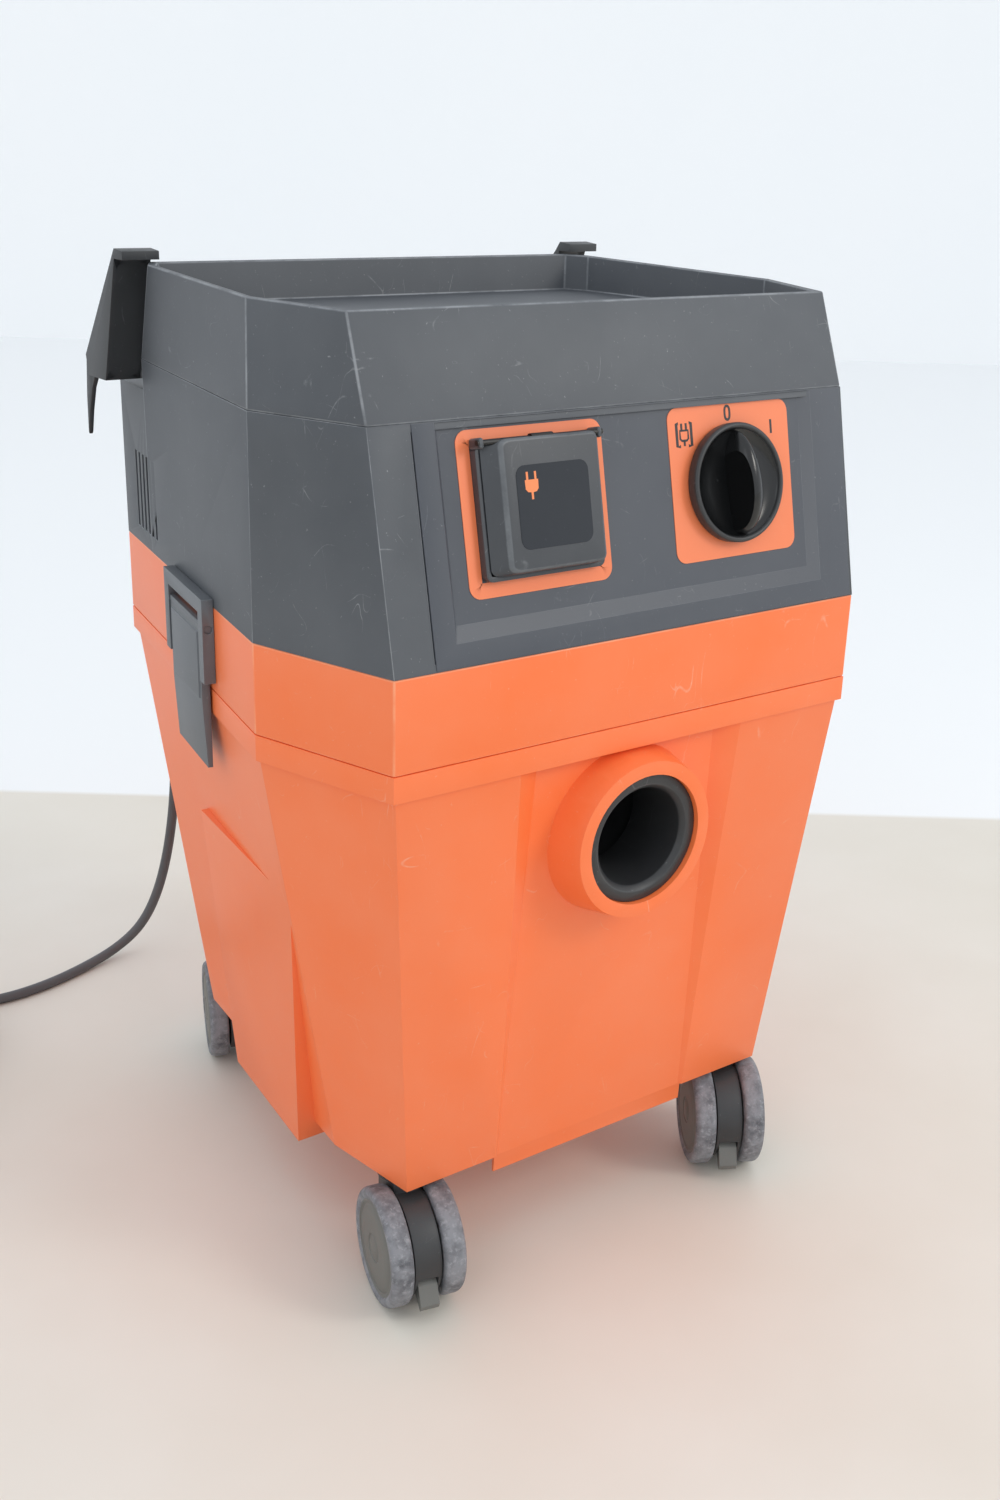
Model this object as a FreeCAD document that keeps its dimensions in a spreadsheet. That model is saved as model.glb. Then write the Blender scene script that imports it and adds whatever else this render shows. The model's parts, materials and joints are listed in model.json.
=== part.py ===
"""Shop vacuum: a wheeled dust tub, a lift-off motor head with a tool tray, and its mains lead.

Millimetres, +Z up, front towards -Y. The origin is on the floor, under the middle of the machine.
"""
import FreeCAD, Part
import math
import os
import re
import Sketcher
from FreeCAD import Placement, Rotation, Vector

# Every driving size. Half widths run along X from the middle, reaches along Y from the middle.
SIZES = {
    # heights, stacked from the floor up
    "skirt_drop": 12, "tub_height": 264.5, "flange_height": 15, "joint_gap": 0.3,
    "ring_height": 52.7, "housing_height": 123, "shoulder_drop": 19.5, "cover_height": 56.5,
    "rim_tilt": 1.2, "tray_depth": 22,
    # plan outline of the joint between tub and head
    "body_front_half": 165.5, "body_front_reach": 186, "body_kink_half": 197, "body_kink_reach": 92,
    "body_rear_half": 151, "body_rear_reach": 183, "body_tail_half": 127, "body_tail_reach": 197,
    # plan outline where the cover meets the housing
    "seam_front_half": 165.5, "seam_front_reach": 159, "seam_kink_half": 194.5, "seam_kink_reach": 88,
    "seam_rear_half": 163, "seam_rear_reach": 118, "seam_tail_half": 155, "seam_tail_reach": 134,
    # plan outline of the tray's rim
    "rim_front_half": 164.5, "rim_front_reach": 138.5, "rim_kink_half": 185, "rim_kink_reach": 71.5,
    "rim_rear_half": 167, "rim_rear_reach": 92, "rim_tail_half": 159, "rim_tail_reach": 108,
    # plan outline of the tub's foot
    "foot_front_half": 141, "foot_front_reach": 162.5, "foot_kink_half": 153, "foot_kink_reach": 97,
    "foot_rear_half": 137, "foot_rear_reach": 108, "foot_tail_half": 108, "foot_tail_reach": 172,
    # shells
    "tub_wall": 4.5, "floor_wall": 6, "shell_wall": 4, "ring_wall": 5, "flange_lip": 2.5,
    "skirt_half": 76, "rear_skirt_half": 38, "skirt_proud": 6, "skirt_root": 14, "recess_half": 84,
    "recess_low": 2.5, "recess_low_half": 74.5, "recess_low_wall": 3, "recess_high": 7,
    "recess_high_half": 66, "recess_high_wall": 16, "recess_over": 5, "collar_sink": 18,
    "side_front": 66, "side_rear": 40, "side_rise": 174,
    "seal_height": 4, "seal_width": 6, "plate_height": 5,
    # suction inlet
    "inlet_level": 286, "collar_radius": 48.5, "collar_root": 55, "collar_reach": 197, "bore_radius": 30.5,
    "fitting_radius": 40, "fitting_depth": 46, "elbow_depth": 52, "elbow_wall": 3, "fit_gap": 0.3,
    # casters
    "stem_half": 131, "stem_reach": 138, "rear_stem_half": 104, "rear_stem_reach": 134, "stem_radius": 5.5,
    "stem_gap": 0.06, "bush_radius": 8, "bush_height": 32, "boss_radius": 13, "wheel_radius": 36.5,
    "wheel_trail": 20, "wheel_width": 14,
    "tread_depth": 6.5, "fork_width": 17, "fork_inset": 4, "caster_gap": 3, "side_gap": 1.2, "axle_radius": 4,
    "axle_gap": 0.06, "swivel_radius": 17, "front_left_yaw": 12, "front_right_yaw": 30,
    "rear_left_yaw": 200, "rear_right_yaw": 168, "brake_width": 12, "brake_gap": 0.5,
    # latches
    "latch_place": 22, "bracket_width": 84, "bracket_drop": 46, "bracket_rise": 5, "bracket_proud": 7,
    "cheek_width": 9, "lever_gap": 0.6, "lever_top": 2.4, "lever_length": 89, "lever_thickness": 5,
    "pivot_radius": 2.6, "pivot_drop": 13, "pivot_gap": 0.06,
    # control panel
    "panel_half": 140, "panel_wall": 4, "panel_border": 4, "label_thickness": 0.6, "label_side": 8.3,
    "label_end": 8.25, "label_up": 14, "socket_place": 66.5, "knob_place": 73.5, "frame_side": 2.5,
    "frame_end": 2.25, "frame_proud": 4, "neck_inset": 4, "well_depth": 36,
    "well_wall": 4, "flap_width": 73, "flap_height": 66, "flap_depth": 15, "flap_wall": 2.5,
    "pin_radius": 1.5, "pin_gap": 0.06, "barrel_radius": 3.2, "knob_radius": 35.5, "knob_rim": 9,
    "grip_width": 13, "grip_height": 25, "spindle_radius": 4, "spindle_gap": 0.06, "switch_side": 46,
    "switch_depth": 30, "contact_radius": 21, "contact_spread": 9.5, "contact_hole": 2.5,
    # head internals
    "motor_radius": 62, "motor_height": 92, "fan_radius": 72, "fan_height": 26, "fan_gap": 4,
    "shaft_radius": 5, "shaft_gap": 0.06, "mount_height": 12, "filter_radius": 78, "filter_bore": 52,
    "filter_height": 120, "cap_height": 12, "screw_head": 5,
    "screw_half": 120, "screw_reach": 120,
    # exhaust slots and rear hooks
    "slot_width": 4.6, "slot_height": 50, "slot_pitch": 9, "slot_start": 103, "slot_rise": 11,
    "hook_inner": 155.5, "hook_width": 24, "hook_reach": 172, "hook_drop": 110, "hook_foot": 38,
    # mains lead
    "cord_radius": 4, "gland_place": 60, "gland_rise": 31.5, "gland_radius": 14, "gland_flange": 4,
    "gland_length": 32, "coil_x": -322, "coil_y": 281, "coil_inner": 28, "coil_outer": 64,
    "coil_height": 32.6, "plug_x": -352.4, "plug_y": 208.1, "plug_turn": -55, "plug_radius": 18,
    "plug_body": 34, "pin_length": 19, "pin_thickness": 2.4, "pin_spread": 9.5,
}

# Sizes that follow from the driving ones.
FOLLOWING = {
    "ground_gap": "(2 * wheel_radius + caster_gap)", "fork_radius": "(wheel_radius - fork_inset)",
    "frame_width": "(flap_width + 2 * frame_side)", "frame_height": "(flap_height + 2 * frame_end)",
    "neck_width": "(frame_width - 2 * neck_inset)", "neck_height": "(frame_height - 2 * neck_inset)",
    "label_width": "(frame_width + 2 * label_side)", "label_height": "(frame_height + 2 * label_end)",
}

TUB_TOP = "ground_gap + tub_height"
RING_LOW = TUB_TOP + " + flange_height + joint_gap"
HEM = RING_LOW + " + ring_height"
SEAM = HEM + " + housing_height"
SHOULDER = SEAM + " - shoulder_drop"
RIM = SEAM + " + cover_height"
TRAY = RIM + " - tray_depth"
GLAND = HEM + " + gland_rise"
SIDE_SLOPE = "(body_kink_half - body_rear_half) / (body_rear_reach + body_kink_reach)"
PANEL_TILT = "atan((body_front_reach - seam_front_reach) / housing_height)"
PANEL_LENGTH = "(housing_height / cos(%s))" % PANEL_TILT
FLAP_HINGE_UP = "(flap_height / 2 + barrel_radius + pin_gap)"
FLAP_HINGE_OUT = "(frame_proud + barrel_radius + 0.8)"

CASTER_SPOTS = {
    "front_left": ("-stem_half", "-stem_reach"), "front_right": ("stem_half", "-stem_reach"),
    "rear_left": ("-rear_stem_half", "rear_stem_reach"), "rear_right": ("rear_stem_half", "rear_stem_reach"),
}

NAMED_SIZE = re.compile(r"[a-z]+(?:_[a-z]+)+")

document = FreeCAD.newDocument("shop_vacuum")
sheet = document.addObject("Spreadsheet::Sheet", "sizes")
pieces = []


def fill_sheet():
    """Write each driving size as a plain number in its own named cell."""
    for row, (alias, value) in enumerate(SIZES.items(), 1):
        sheet.set("A%d" % row, alias.replace("_", " "))
        sheet.set("B%d" % row, str(value))
        sheet.setAlias("B%d" % row, alias)
    document.recompute()


def formula(text):
    """Turn size names into references to the sheet's cells, by way of the sizes that follow from them."""
    def cell(found):
        name = found.group(0)
        return formula(FOLLOWING[name]) if name in FOLLOWING else "sizes." + name

    return NAMED_SIZE.sub(cell, str(text))


def bind(item, **expressions):
    """Bind properties of an object; a double underscore stands for a dot."""
    for name, text in expressions.items():
        item.setExpression(name.replace("__", "."), formula(text))
    return item


def place(item, x="0", y="0", z="0", turn="0", axis=(0, 0, 1)):
    """Put a sub-part at a place, turned about one axis by an angle in degrees."""
    item.Placement = Placement(Vector(0, 0, 1), Rotation(Vector(*axis), 1))
    return bind(item, Placement__Base__x=x, Placement__Base__y=y, Placement__Base__z=z,
                Placement__Rotation__Angle="(%s) * 1deg" % turn)


def place_on_panel(item, x="0", up="0", out="0"):
    """Put a piece on the sloping front panel: local X across, Y up the slope, Z outwards."""
    item.Placement = Placement(Vector(0, 0, 1), Rotation(Vector(1, 0, 0), 1))
    middle = "(body_front_reach + seam_front_reach) / 2"
    return bind(
        item, Placement__Base__x=x,
        Placement__Base__y="-%s + (%s) * sin(%s) - (%s) * cos(%s)" % (
            middle, up, PANEL_TILT, out, PANEL_TILT),
        Placement__Base__z="%s + housing_height / 2 + (%s) * cos(%s) + (%s) * sin(%s)"
        % (HEM, up, PANEL_TILT, out, PANEL_TILT),
        Placement__Rotation__Angle="90deg - " + PANEL_TILT)


def piece(item, label):
    """Register a finished sub-part under its own name."""
    item.Label = label
    pieces.append(item)
    return item


def body(name):
    return document.addObject("PartDesign::Body", name + "_body")


def outline(owner, points, role="XY_Plane", lift="0", shift="0", tilt=None):
    """A closed polygon in one of the body's own planes, each corner placed by two formulas."""
    sketch = owner.newObject("Sketcher::SketchObject", "outline")
    support = next(plane for plane in owner.Origin.OriginFeatures if plane.Role == role)
    sketch.AttachmentSupport = [(support, "")]
    sketch.MapMode = "FlatFace"
    if tilt:
        sketch.AttachmentOffset = Placement(Vector(0, 0, 1), Rotation(Vector(1, 0, 0), 1))
        bind(sketch, AttachmentOffset__Rotation__Angle=tilt + " * 1deg")
    bind(sketch, AttachmentOffset__Base__z=lift, AttachmentOffset__Base__y=shift)
    count = len(points)
    corners = [Vector(math.cos(math.tau * k / count), math.sin(math.tau * k / count), 0)
               for k in range(count)]
    sketch.addGeometry([Part.LineSegment(corners[k], corners[(k + 1) % count]) for k in range(count)], False)
    for k in range(count):
        sketch.addConstraint(Sketcher.Constraint("Coincident", k, 2, (k + 1) % count, 1))
    for k, point in enumerate(points):
        for kind, text in zip(("DistanceX", "DistanceY"), point):
            number = sketch.addConstraint(Sketcher.Constraint(kind, -1, 1, k, 1, 1.0))
            sketch.setExpression("Constraints[%d]" % number, formula(text))
    return sketch


def loft(owner, low, high, cut=False):
    kind = "PartDesign::SubtractiveLoft" if cut else "PartDesign::AdditiveLoft"
    feature = owner.newObject(kind, "loft")
    feature.Profile = low
    feature.Sections = [high]
    feature.Ruled = True
    return feature


def pad(owner, sketch, length, midplane=False):
    feature = owner.newObject("PartDesign::Pad", "pad")
    feature.Profile = sketch
    feature.Midplane = midplane
    return bind(feature, Length=length)


def pocket(owner, sketch, length, reverse=False, midplane=False):
    """Cut along a sketch's outline, and make sure that the cut took something away."""
    document.recompute()
    before = owner.Shape.Volume
    feature = owner.newObject("PartDesign::Pocket", "pocket")
    feature.Profile = sketch
    feature.Reversed = reverse
    feature.Midplane = midplane
    bind(feature, Length=length)
    document.recompute()
    if owner.Shape.Volume > before - 1:
        raise RuntimeError("a pocket in %s cuts nothing" % owner.Label)
    return feature


def turned(name, points, axis="H_Axis", role="XY_Plane", lift="0", shift="0"):
    """A piece turned on a lathe: its half outline spun round one axis of the sketch."""
    owner = body(name)
    sketch = outline(owner, points, role, lift, shift)
    feature = owner.newObject("PartDesign::Revolution", "turned")
    feature.Profile = sketch
    feature.ReferenceAxis = (sketch, [axis])
    feature.Angle = 360
    return piece(owner, name)


def box(x, y, z, length, width, height):
    """A plain block; x, y and z are its lowest corner."""
    item = document.addObject("Part::Box", "block")
    return bind(item, Length=length, Width=width, Height=height,
                Placement__Base__x=x, Placement__Base__y=y, Placement__Base__z=z)


def cylinder(x, y, z, radius, height, axis=(0, 0, 1)):
    """A plain rod from a point along +Z, +X or +Y."""
    item = document.addObject("Part::Cylinder", "rod")
    item.Placement = Placement(Vector(0, 0, 0), Rotation(Vector(0, 0, 1), Vector(*axis)))
    return bind(item, Radius=radius, Height=height,
                Placement__Base__x=x, Placement__Base__y=y, Placement__Base__z=z)


def fuse(*shapes):
    item = document.addObject("Part::MultiFuse", "joined")
    item.Shapes = list(shapes)
    return item


def cut(base, tool):
    item = document.addObject("Part::Cut", "trimmed")
    item.Base = base
    item.Tool = tool
    return item


def mirrored(points):
    """Complete a right-hand row of points with its mirror image across the sketch's vertical axis."""
    return points + [("-(%s)" % x, y) for x, y in reversed(points)]


def plan(level, inset="0"):
    """The eight-cornered plan outline of a level, drawn in by an inset."""
    inset = "(%s)" % inset
    corners = [("front", "-"), ("kink", "-"), ("rear", ""), ("tail", "")]
    points = []
    for corner, side in corners:
        reach = "%s_%s_reach" % (level, corner)
        if corner != "kink":
            reach = "(%s - %s)" % (reach, inset)
        points.append(("%s_%s_half - %s" % (level, corner, inset), side + reach))
    return mirrored(points)


def blended_plan(low, high, share, inset="0"):
    """A plan outline part of the way up from one level to another."""
    pairs = zip(plan(low, inset), plan(high, inset))
    return [("(%s) * (1 - %s) + (%s) * %s" % (a[0], share, b[0], share),
             "(%s) * (1 - %s) + (%s) * %s" % (a[1], share, b[1], share)) for a, b in pairs]


def side_at(reach):
    """Half width of the joint outline's side wall at a place along Y."""
    return "(body_kink_half - (%s + body_kink_reach) * %s)" % (reach, SIDE_SLOPE)


# ---------------------------------------------------------------- the tub

def make_container():
    owner = body("container")
    loft(owner, outline(owner, plan("foot"), lift="ground_gap"),
         outline(owner, plan("body", "flange_lip"), lift=TUB_TOP))
    pad(owner, outline(owner, plan("body"), lift=TUB_TOP), "flange_height")
    # Front and rear walls hang below the corners as skirts; the rear one stands proud.
    for side, half, foot, top in (
            ("-", "skirt_half", "foot_front_reach - recess_low",
             "body_front_reach - flange_lip - recess_high"),
            ("", "rear_skirt_half", "foot_tail_reach + skirt_proud", "body_tail_reach")):
        low = [(half, "%s(%s - skirt_root)" % (side, foot)), (half, "%s(%s)" % (side, foot))]
        high = [(half, "%s(%s - skirt_root)" % (side, top)), (half, "%s(%s)" % (side, top))]
        loft(owner, outline(owner, mirrored(low), lift="ground_gap - skirt_drop"),
             outline(owner, mirrored(high), lift=TUB_TOP))
    # Side panels that grow out of the flanks towards the foot.
    for side in ("", "-"):
        low = [(side + "(foot_kink_half - 14)", "-side_front"),
               (side + "(foot_kink_half + 9)", "-side_front"),
               (side + "(foot_kink_half - 1)", "side_rear"),
               (side + "(foot_kink_half - 24)", "side_rear")]
        high = [(side + "(foot_kink_half + 8)", "-side_front - 28"),
                (side + "(foot_kink_half + 26)", "-side_front - 28"),
                (side + "(foot_kink_half + 11)", "side_rear + 16"),
                (side + "(foot_kink_half - 6)", "side_rear + 16")]
        loft(owner, outline(owner, low, lift="ground_gap - skirt_drop"),
             outline(owner, high, lift="ground_gap + side_rise"))
    # The inside, the hollow under the floor between the skirts, and the inlet collar.
    loft(owner, outline(owner, plan("foot", "tub_wall"), lift="ground_gap + floor_wall"),
         outline(owner, plan("body", "flange_lip + tub_wall"), lift=TUB_TOP + " + flange_height"), cut=True)
    pocket(owner, outline(owner, mirrored([("foot_rear_half - 4", "-(foot_front_reach - 4)"),
                                           ("foot_rear_half - 4", "foot_front_reach")]),
                          lift="ground_gap"), "skirt_drop + 1")
    make_front_recess(owner)
    root = "-(body_front_reach - collar_sink)"
    collar = outline(owner, [("0", root), ("collar_root", root),
                             ("collar_radius", "-collar_reach"), ("0", "-collar_reach")], lift="inlet_level")
    feature = owner.newObject("PartDesign::Revolution", "collar")
    feature.Profile = collar
    feature.ReferenceAxis = (collar, ["V_Axis"])
    feature.Angle = 360
    cut_by_turning(owner, [("0", "-(foot_front_reach - 26)"),
                           ("fitting_radius + fit_gap", "-(foot_front_reach - 26)"),
                           ("fitting_radius + fit_gap", "-collar_reach - 1"), ("0", "-collar_reach - 1")],
                   "inlet_level")
    # Bosses for the caster bushes, and their blind sockets.
    for x, y in CASTER_SPOTS.values():
        add_rod(owner, x, y, "ground_gap", "boss_radius", "bush_height + floor_wall")
        cut_rod(owner, x, y, "ground_gap", "bush_radius", "bush_height")
    piece(owner, "container")


def make_front_recess(owner):
    """The front is drawn in between its flanks: more at the top, and with flatter side walls there."""
    levels = (("ground_gap + floor_wall", "foot_front_reach", "recess_low"),
              (TUB_TOP, "body_front_reach - flange_lip", "recess_high"))
    behind = [outline(owner, mirrored([("recess_half", "-(%s - %s - tub_wall)" % (reach, depth)),
                                       ("recess_half", "-(%s - 1)" % reach)]), lift=level)
              for level, reach, depth in levels]
    loft(owner, *behind)
    low_run = "recess_low_wall * recess_over / recess_low"
    high_run = "recess_high_wall * recess_over / recess_high"
    low = [("recess_low_half", "-(foot_front_reach - recess_low)"),
           ("recess_low_half + recess_low_wall + " + low_run, "-(foot_front_reach + recess_over)")]
    high = [("recess_high_half", "-(body_front_reach - flange_lip - recess_high)"),
            ("recess_high_half + recess_high_wall + " + high_run,
             "-(body_front_reach - flange_lip + recess_over)")]
    loft(owner, outline(owner, mirrored(low), lift="ground_gap - skirt_drop - 1"),
         outline(owner, mirrored(high), lift=TUB_TOP), cut=True)


def round_sketch(owner, x, y, radius, lift):
    """One circle, its centre and radius bound to the sheet."""
    sketch = owner.newObject("Sketcher::SketchObject", "round")
    support = next(plane for plane in owner.Origin.OriginFeatures if plane.Role == "XY_Plane")
    sketch.AttachmentSupport = [(support, "")]
    sketch.MapMode = "FlatFace"
    bind(sketch, AttachmentOffset__Base__z=lift)
    sketch.addGeometry(Part.Circle(Vector(0, 0, 0), Vector(0, 0, 1), 1), False)
    for kind, reference, text in (("DistanceX", (-1, 1, 0, 3), x), ("DistanceY", (-1, 1, 0, 3), y),
                                  ("Radius", (0,), radius)):
        number = sketch.addConstraint(Sketcher.Constraint(kind, *reference, 1.0))
        sketch.setExpression("Constraints[%d]" % number, formula(text))
    return sketch


def add_rod(owner, x, y, z, radius, height):
    pad(owner, round_sketch(owner, x, y, radius, z), height)


def cut_rod(owner, x, y, z, radius, height):
    """A round blind hole bored upwards from a level."""
    pocket(owner, round_sketch(owner, x, y, radius, z), height, reverse=True)


def cut_by_turning(owner, points, lift):
    """Bore a round hole along Y by a groove about the sketch's vertical axis."""
    sketch = outline(owner, points, lift=lift)
    document.recompute()
    before = owner.Shape.Volume
    feature = owner.newObject("PartDesign::Groove", "bored")
    feature.Profile = sketch
    feature.ReferenceAxis = (sketch, ["V_Axis"])
    feature.Angle = 360
    document.recompute()
    if owner.Shape.Volume > before - 1:
        raise RuntimeError("a groove in %s cuts nothing" % owner.Label)


def make_inlet():
    """The push-in hose fitting, and the elbow behind it that throws the dust sideways."""
    front = "collar_reach - 3"
    turned("suction_inlet", [
        ("bore_radius", "-(%s - fitting_depth)" % front), ("fitting_radius", "-(%s - fitting_depth)" % front),
        ("fitting_radius", "-(%s)" % front), ("bore_radius + 3", "-(%s)" % front),
        ("bore_radius", "-(%s - 3)" % front)], axis="V_Axis", lift="inlet_level")
    back = "(collar_reach - 3 - fitting_depth - elbow_depth)"
    mouth = "(collar_reach - 3 - fitting_depth)"
    shell = document.addObject("PartDesign::Body", "elbow_body")
    sketch = outline(shell, [
        ("0", "-" + back), ("fitting_radius", "-" + back), ("fitting_radius", "-" + mouth),
        ("fitting_radius - elbow_wall", "-" + mouth),
        ("fitting_radius - elbow_wall", "-%s - elbow_wall" % back),
        ("0", "-%s - elbow_wall" % back)], lift="inlet_level")
    feature = shell.newObject("PartDesign::Revolution", "turned")
    feature.Profile = sketch
    feature.ReferenceAxis = (sketch, ["V_Axis"])
    feature.Angle = 360
    window = box("-fitting_radius", "-%s + 8" % mouth, "inlet_level - fitting_radius - 1",
                 "fitting_radius", "elbow_depth - 8 - elbow_wall - 2", "fitting_radius + 1")
    piece(cut(shell, window), "inlet_deflector")


def make_caster_bushes():
    tubes = []
    for x, y in CASTER_SPOTS.values():
        outer = cylinder(x, y, "ground_gap", "bush_radius", "bush_height")
        inner = cylinder(x, y, "ground_gap", "stem_radius + stem_gap", "bush_height")
        tubes.append(cut(outer, inner))
    piece(fuse(*tubes), "caster_bushes")


# ---------------------------------------------------------------- the casters

def make_caster(corner, x, y, yaw, braked):
    """A twin-wheel swivel caster; its own frame has the stem at the middle and trails towards -Y."""
    def settle(item):
        place(item, x, y, "0", yaw)

    hub_x = "-fork_width / 2"
    housing = cylinder(hub_x, "-wheel_trail", "wheel_radius", "fork_radius", "fork_width", (1, 0, 0))
    head = cylinder("0", "0", "wheel_radius", "swivel_radius", "ground_gap - 1 - wheel_radius")
    stem = cylinder("0", "0", "ground_gap - 2", "stem_radius", "bush_height - 1")
    under = box(hub_x + " - 1", "-wheel_trail - fork_radius - 1", "0",
                "fork_width + 2", "2 * fork_radius + 2", "wheel_radius - 22")
    # The swivel head may not reach into the wheels, so its sides are flat.
    cheeks = box(hub_x, "-swivel_radius - 1", "0", "fork_width", "2 * swivel_radius + 2", "ground_gap")
    common = document.addObject("Part::MultiCommon", "narrowed")
    common.Shapes = [head, cheeks]
    collar = cylinder("0", "0", "2 * wheel_radius + 0.6", "swivel_radius - 3",
                      "ground_gap - 2 * wheel_radius - 1.6")
    solid = cut(fuse(housing, common, collar, stem), under)
    hole = cylinder(hub_x + " - 1", "-wheel_trail", "wheel_radius", "axle_radius", "fork_width + 2",
                    (1, 0, 0))
    solid = cut(solid, hole)
    if braked:
        notch = box("-brake_width / 2 - brake_gap", "-wheel_trail - fork_radius - 2", "0",
                    "brake_width + 2 * brake_gap", "17", "wheel_radius - 6")
        solid = cut(solid, notch)
    settle(piece(solid, "caster_fork_" + corner))
    half = "(fork_width / 2 + side_gap + wheel_width - 2)"
    rod = [("-" + half, "0"), (half, "0"), (half, "axle_radius"), ("-" + half, "axle_radius")]
    settle(turned("caster_axle_" + corner, rod, lift="wheel_radius", shift="-wheel_trail"))
    for side, name in (("-", "left"), ("", "right")):
        inner = side + "(fork_width / 2 + side_gap)"
        outer = side + "(fork_width / 2 + side_gap + wheel_width)"
        rim = "wheel_radius - tread_depth"
        wheel = [(inner, "axle_radius + axle_gap"), (inner, rim), (outer, rim),
                 (outer + (" + 1.5" if side else " - 1.5"), "wheel_radius - tread_depth - 5"),
                 (outer + (" + 1.5" if side else " - 1.5"), "axle_radius + axle_gap")]
        settle(turned("wheel_%s_%s" % (corner, name), wheel, lift="wheel_radius", shift="-wheel_trail"))
        edge = " + 2" if side else " - 2"
        back = " - 2" if side else " + 2"
        tread = [(inner, rim), (inner, "wheel_radius - 2"), (inner + back, "wheel_radius"),
                 (outer + edge, "wheel_radius"), (outer, "wheel_radius - 2"), (outer, rim)]
        settle(turned("tread_%s_%s" % (corner, name), tread, lift="wheel_radius", shift="-wheel_trail"))
    if braked:
        root = "-wheel_trail - fork_radius + 14"
        lever = body("brake")
        profile = outline(lever, [
            (root, "wheel_radius - 8"), (root, "wheel_radius - 14"), ("-wheel_trail - fork_radius - 1", "10"),
            ("-wheel_trail - fork_radius - 3", "14"), ("-wheel_trail - fork_radius + 2", "wheel_radius - 11"),
            ("-wheel_trail - fork_radius + 6", "wheel_radius - 8")], role="YZ_Plane")
        pad(lever, profile, "brake_width", midplane=True)
        settle(piece(lever, "brake_lever_" + corner))


# ---------------------------------------------------------------- the head's shells

def make_ring():
    owner = body("base_ring")
    pad(owner, outline(owner, plan("body"), lift=RING_LOW), "ring_height")
    pocket(owner, outline(owner, plan("body", "ring_wall"), lift=RING_LOW), "ring_height", reverse=True)
    piece(owner, "base_ring")


def make_head_seal():
    """The rubber seal that sits in the ring and rests on the tub's flange."""
    owner = body("head_seal")
    pad(owner, outline(owner, plan("body", "ring_wall + 0.2"), lift=RING_LOW), "seal_height")
    pocket(owner, outline(owner, plan("body", "ring_wall + seal_width"), lift=RING_LOW), "seal_height",
           reverse=True)
    piece(owner, "head_seal")


def make_motor_plate():
    """The plate across the ring that carries the motor above and the filter below."""
    owner = body("motor_plate")
    level = RING_LOW + " + seal_height"
    pad(owner, outline(owner, plan("body", "ring_wall + 0.2"), lift=level), "plate_height")
    cut_rod(owner, "0", "0", level, "filter_bore - 8", "plate_height + 1")
    piece(owner, "motor_plate")


def make_housing():
    owner = body("motor_housing")
    rear_low = [(side_at("seam_rear_reach"), "seam_rear_reach"), ("seam_tail_half", "seam_tail_reach")]

    def lower(inset):
        front = plan("body", inset)[:2]
        return mirrored(front + [("%s - %s" % (x, inset), "%s - %s" % (y, inset)) for x, y in rear_low])

    block = [(side_at("seam_rear_reach - 18"), "seam_rear_reach - 18"), ("body_rear_half", "body_rear_reach"),
             ("body_tail_half", "body_tail_reach")]
    inner = [("%s - shell_wall" % x, "%s - shell_wall" % y) for x, y in block]
    loft(owner, outline(owner, lower("0"), lift=HEM), outline(owner, plan("seam"), lift=SEAM))
    pad(owner, outline(owner, mirrored(block), lift=HEM), SHOULDER + " - (" + HEM + ")")
    loft(owner, outline(owner, lower("shell_wall"), lift=HEM),
         outline(owner, plan("seam", "shell_wall"), lift=SEAM), cut=True)
    pocket(owner, outline(owner, mirrored(inner), lift=HEM), SHOULDER + " - shell_wall - (" + HEM + ")",
           reverse=True)
    # Window for the control panel.
    pocket(owner, outline(owner, mirrored([("panel_half + fit_gap", HEM + " + panel_border"),
                                           ("panel_half + fit_gap", SEAM + " - panel_border")]),
                          role="XZ_Plane", lift="body_front_reach + 10"), "60")
    # Exhaust slots through both flanks, near the rear.
    low = HEM + " + slot_rise"
    slot = outline(owner, [("slot_start", low), ("slot_start + slot_width", low),
                           ("slot_start + slot_width", low + " + slot_height"),
                           ("slot_start", low + " + slot_height")], role="YZ_Plane")
    feature = pocket(owner, slot, "2 * body_kink_half", midplane=True)
    row = owner.newObject("PartDesign::LinearPattern", "slot_row")
    row.Originals = [feature]
    row.Direction = (slot, ["H_Axis"])
    row.Occurrences = 6
    bind(row, Length="slot_pitch * 5")
    owner.Tip = row
    piece(owner, "motor_housing")


def make_cover():
    """The top cover: outside it tapers to the rim, inside it holds the tool tray."""
    owner = body("top_cover")
    under = "(1 - (tray_depth + shell_wall) / cover_height)"
    loft(owner, outline(owner, plan("seam"), lift=SEAM),
         outline(owner, plan("rim"), lift=RIM, tilt="rim_tilt"))
    loft(owner, outline(owner, plan("seam", "shell_wall"), lift=SEAM),
         outline(owner, blended_plan("seam", "rim", under, "shell_wall"), lift=TRAY + " - shell_wall"),
         cut=True)
    loft(owner, outline(owner, plan("rim", "shell_wall"), lift=TRAY),
         outline(owner, plan("rim", "shell_wall"), lift=RIM + " + 8"), cut=True)
    piece(owner, "top_cover")


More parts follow.
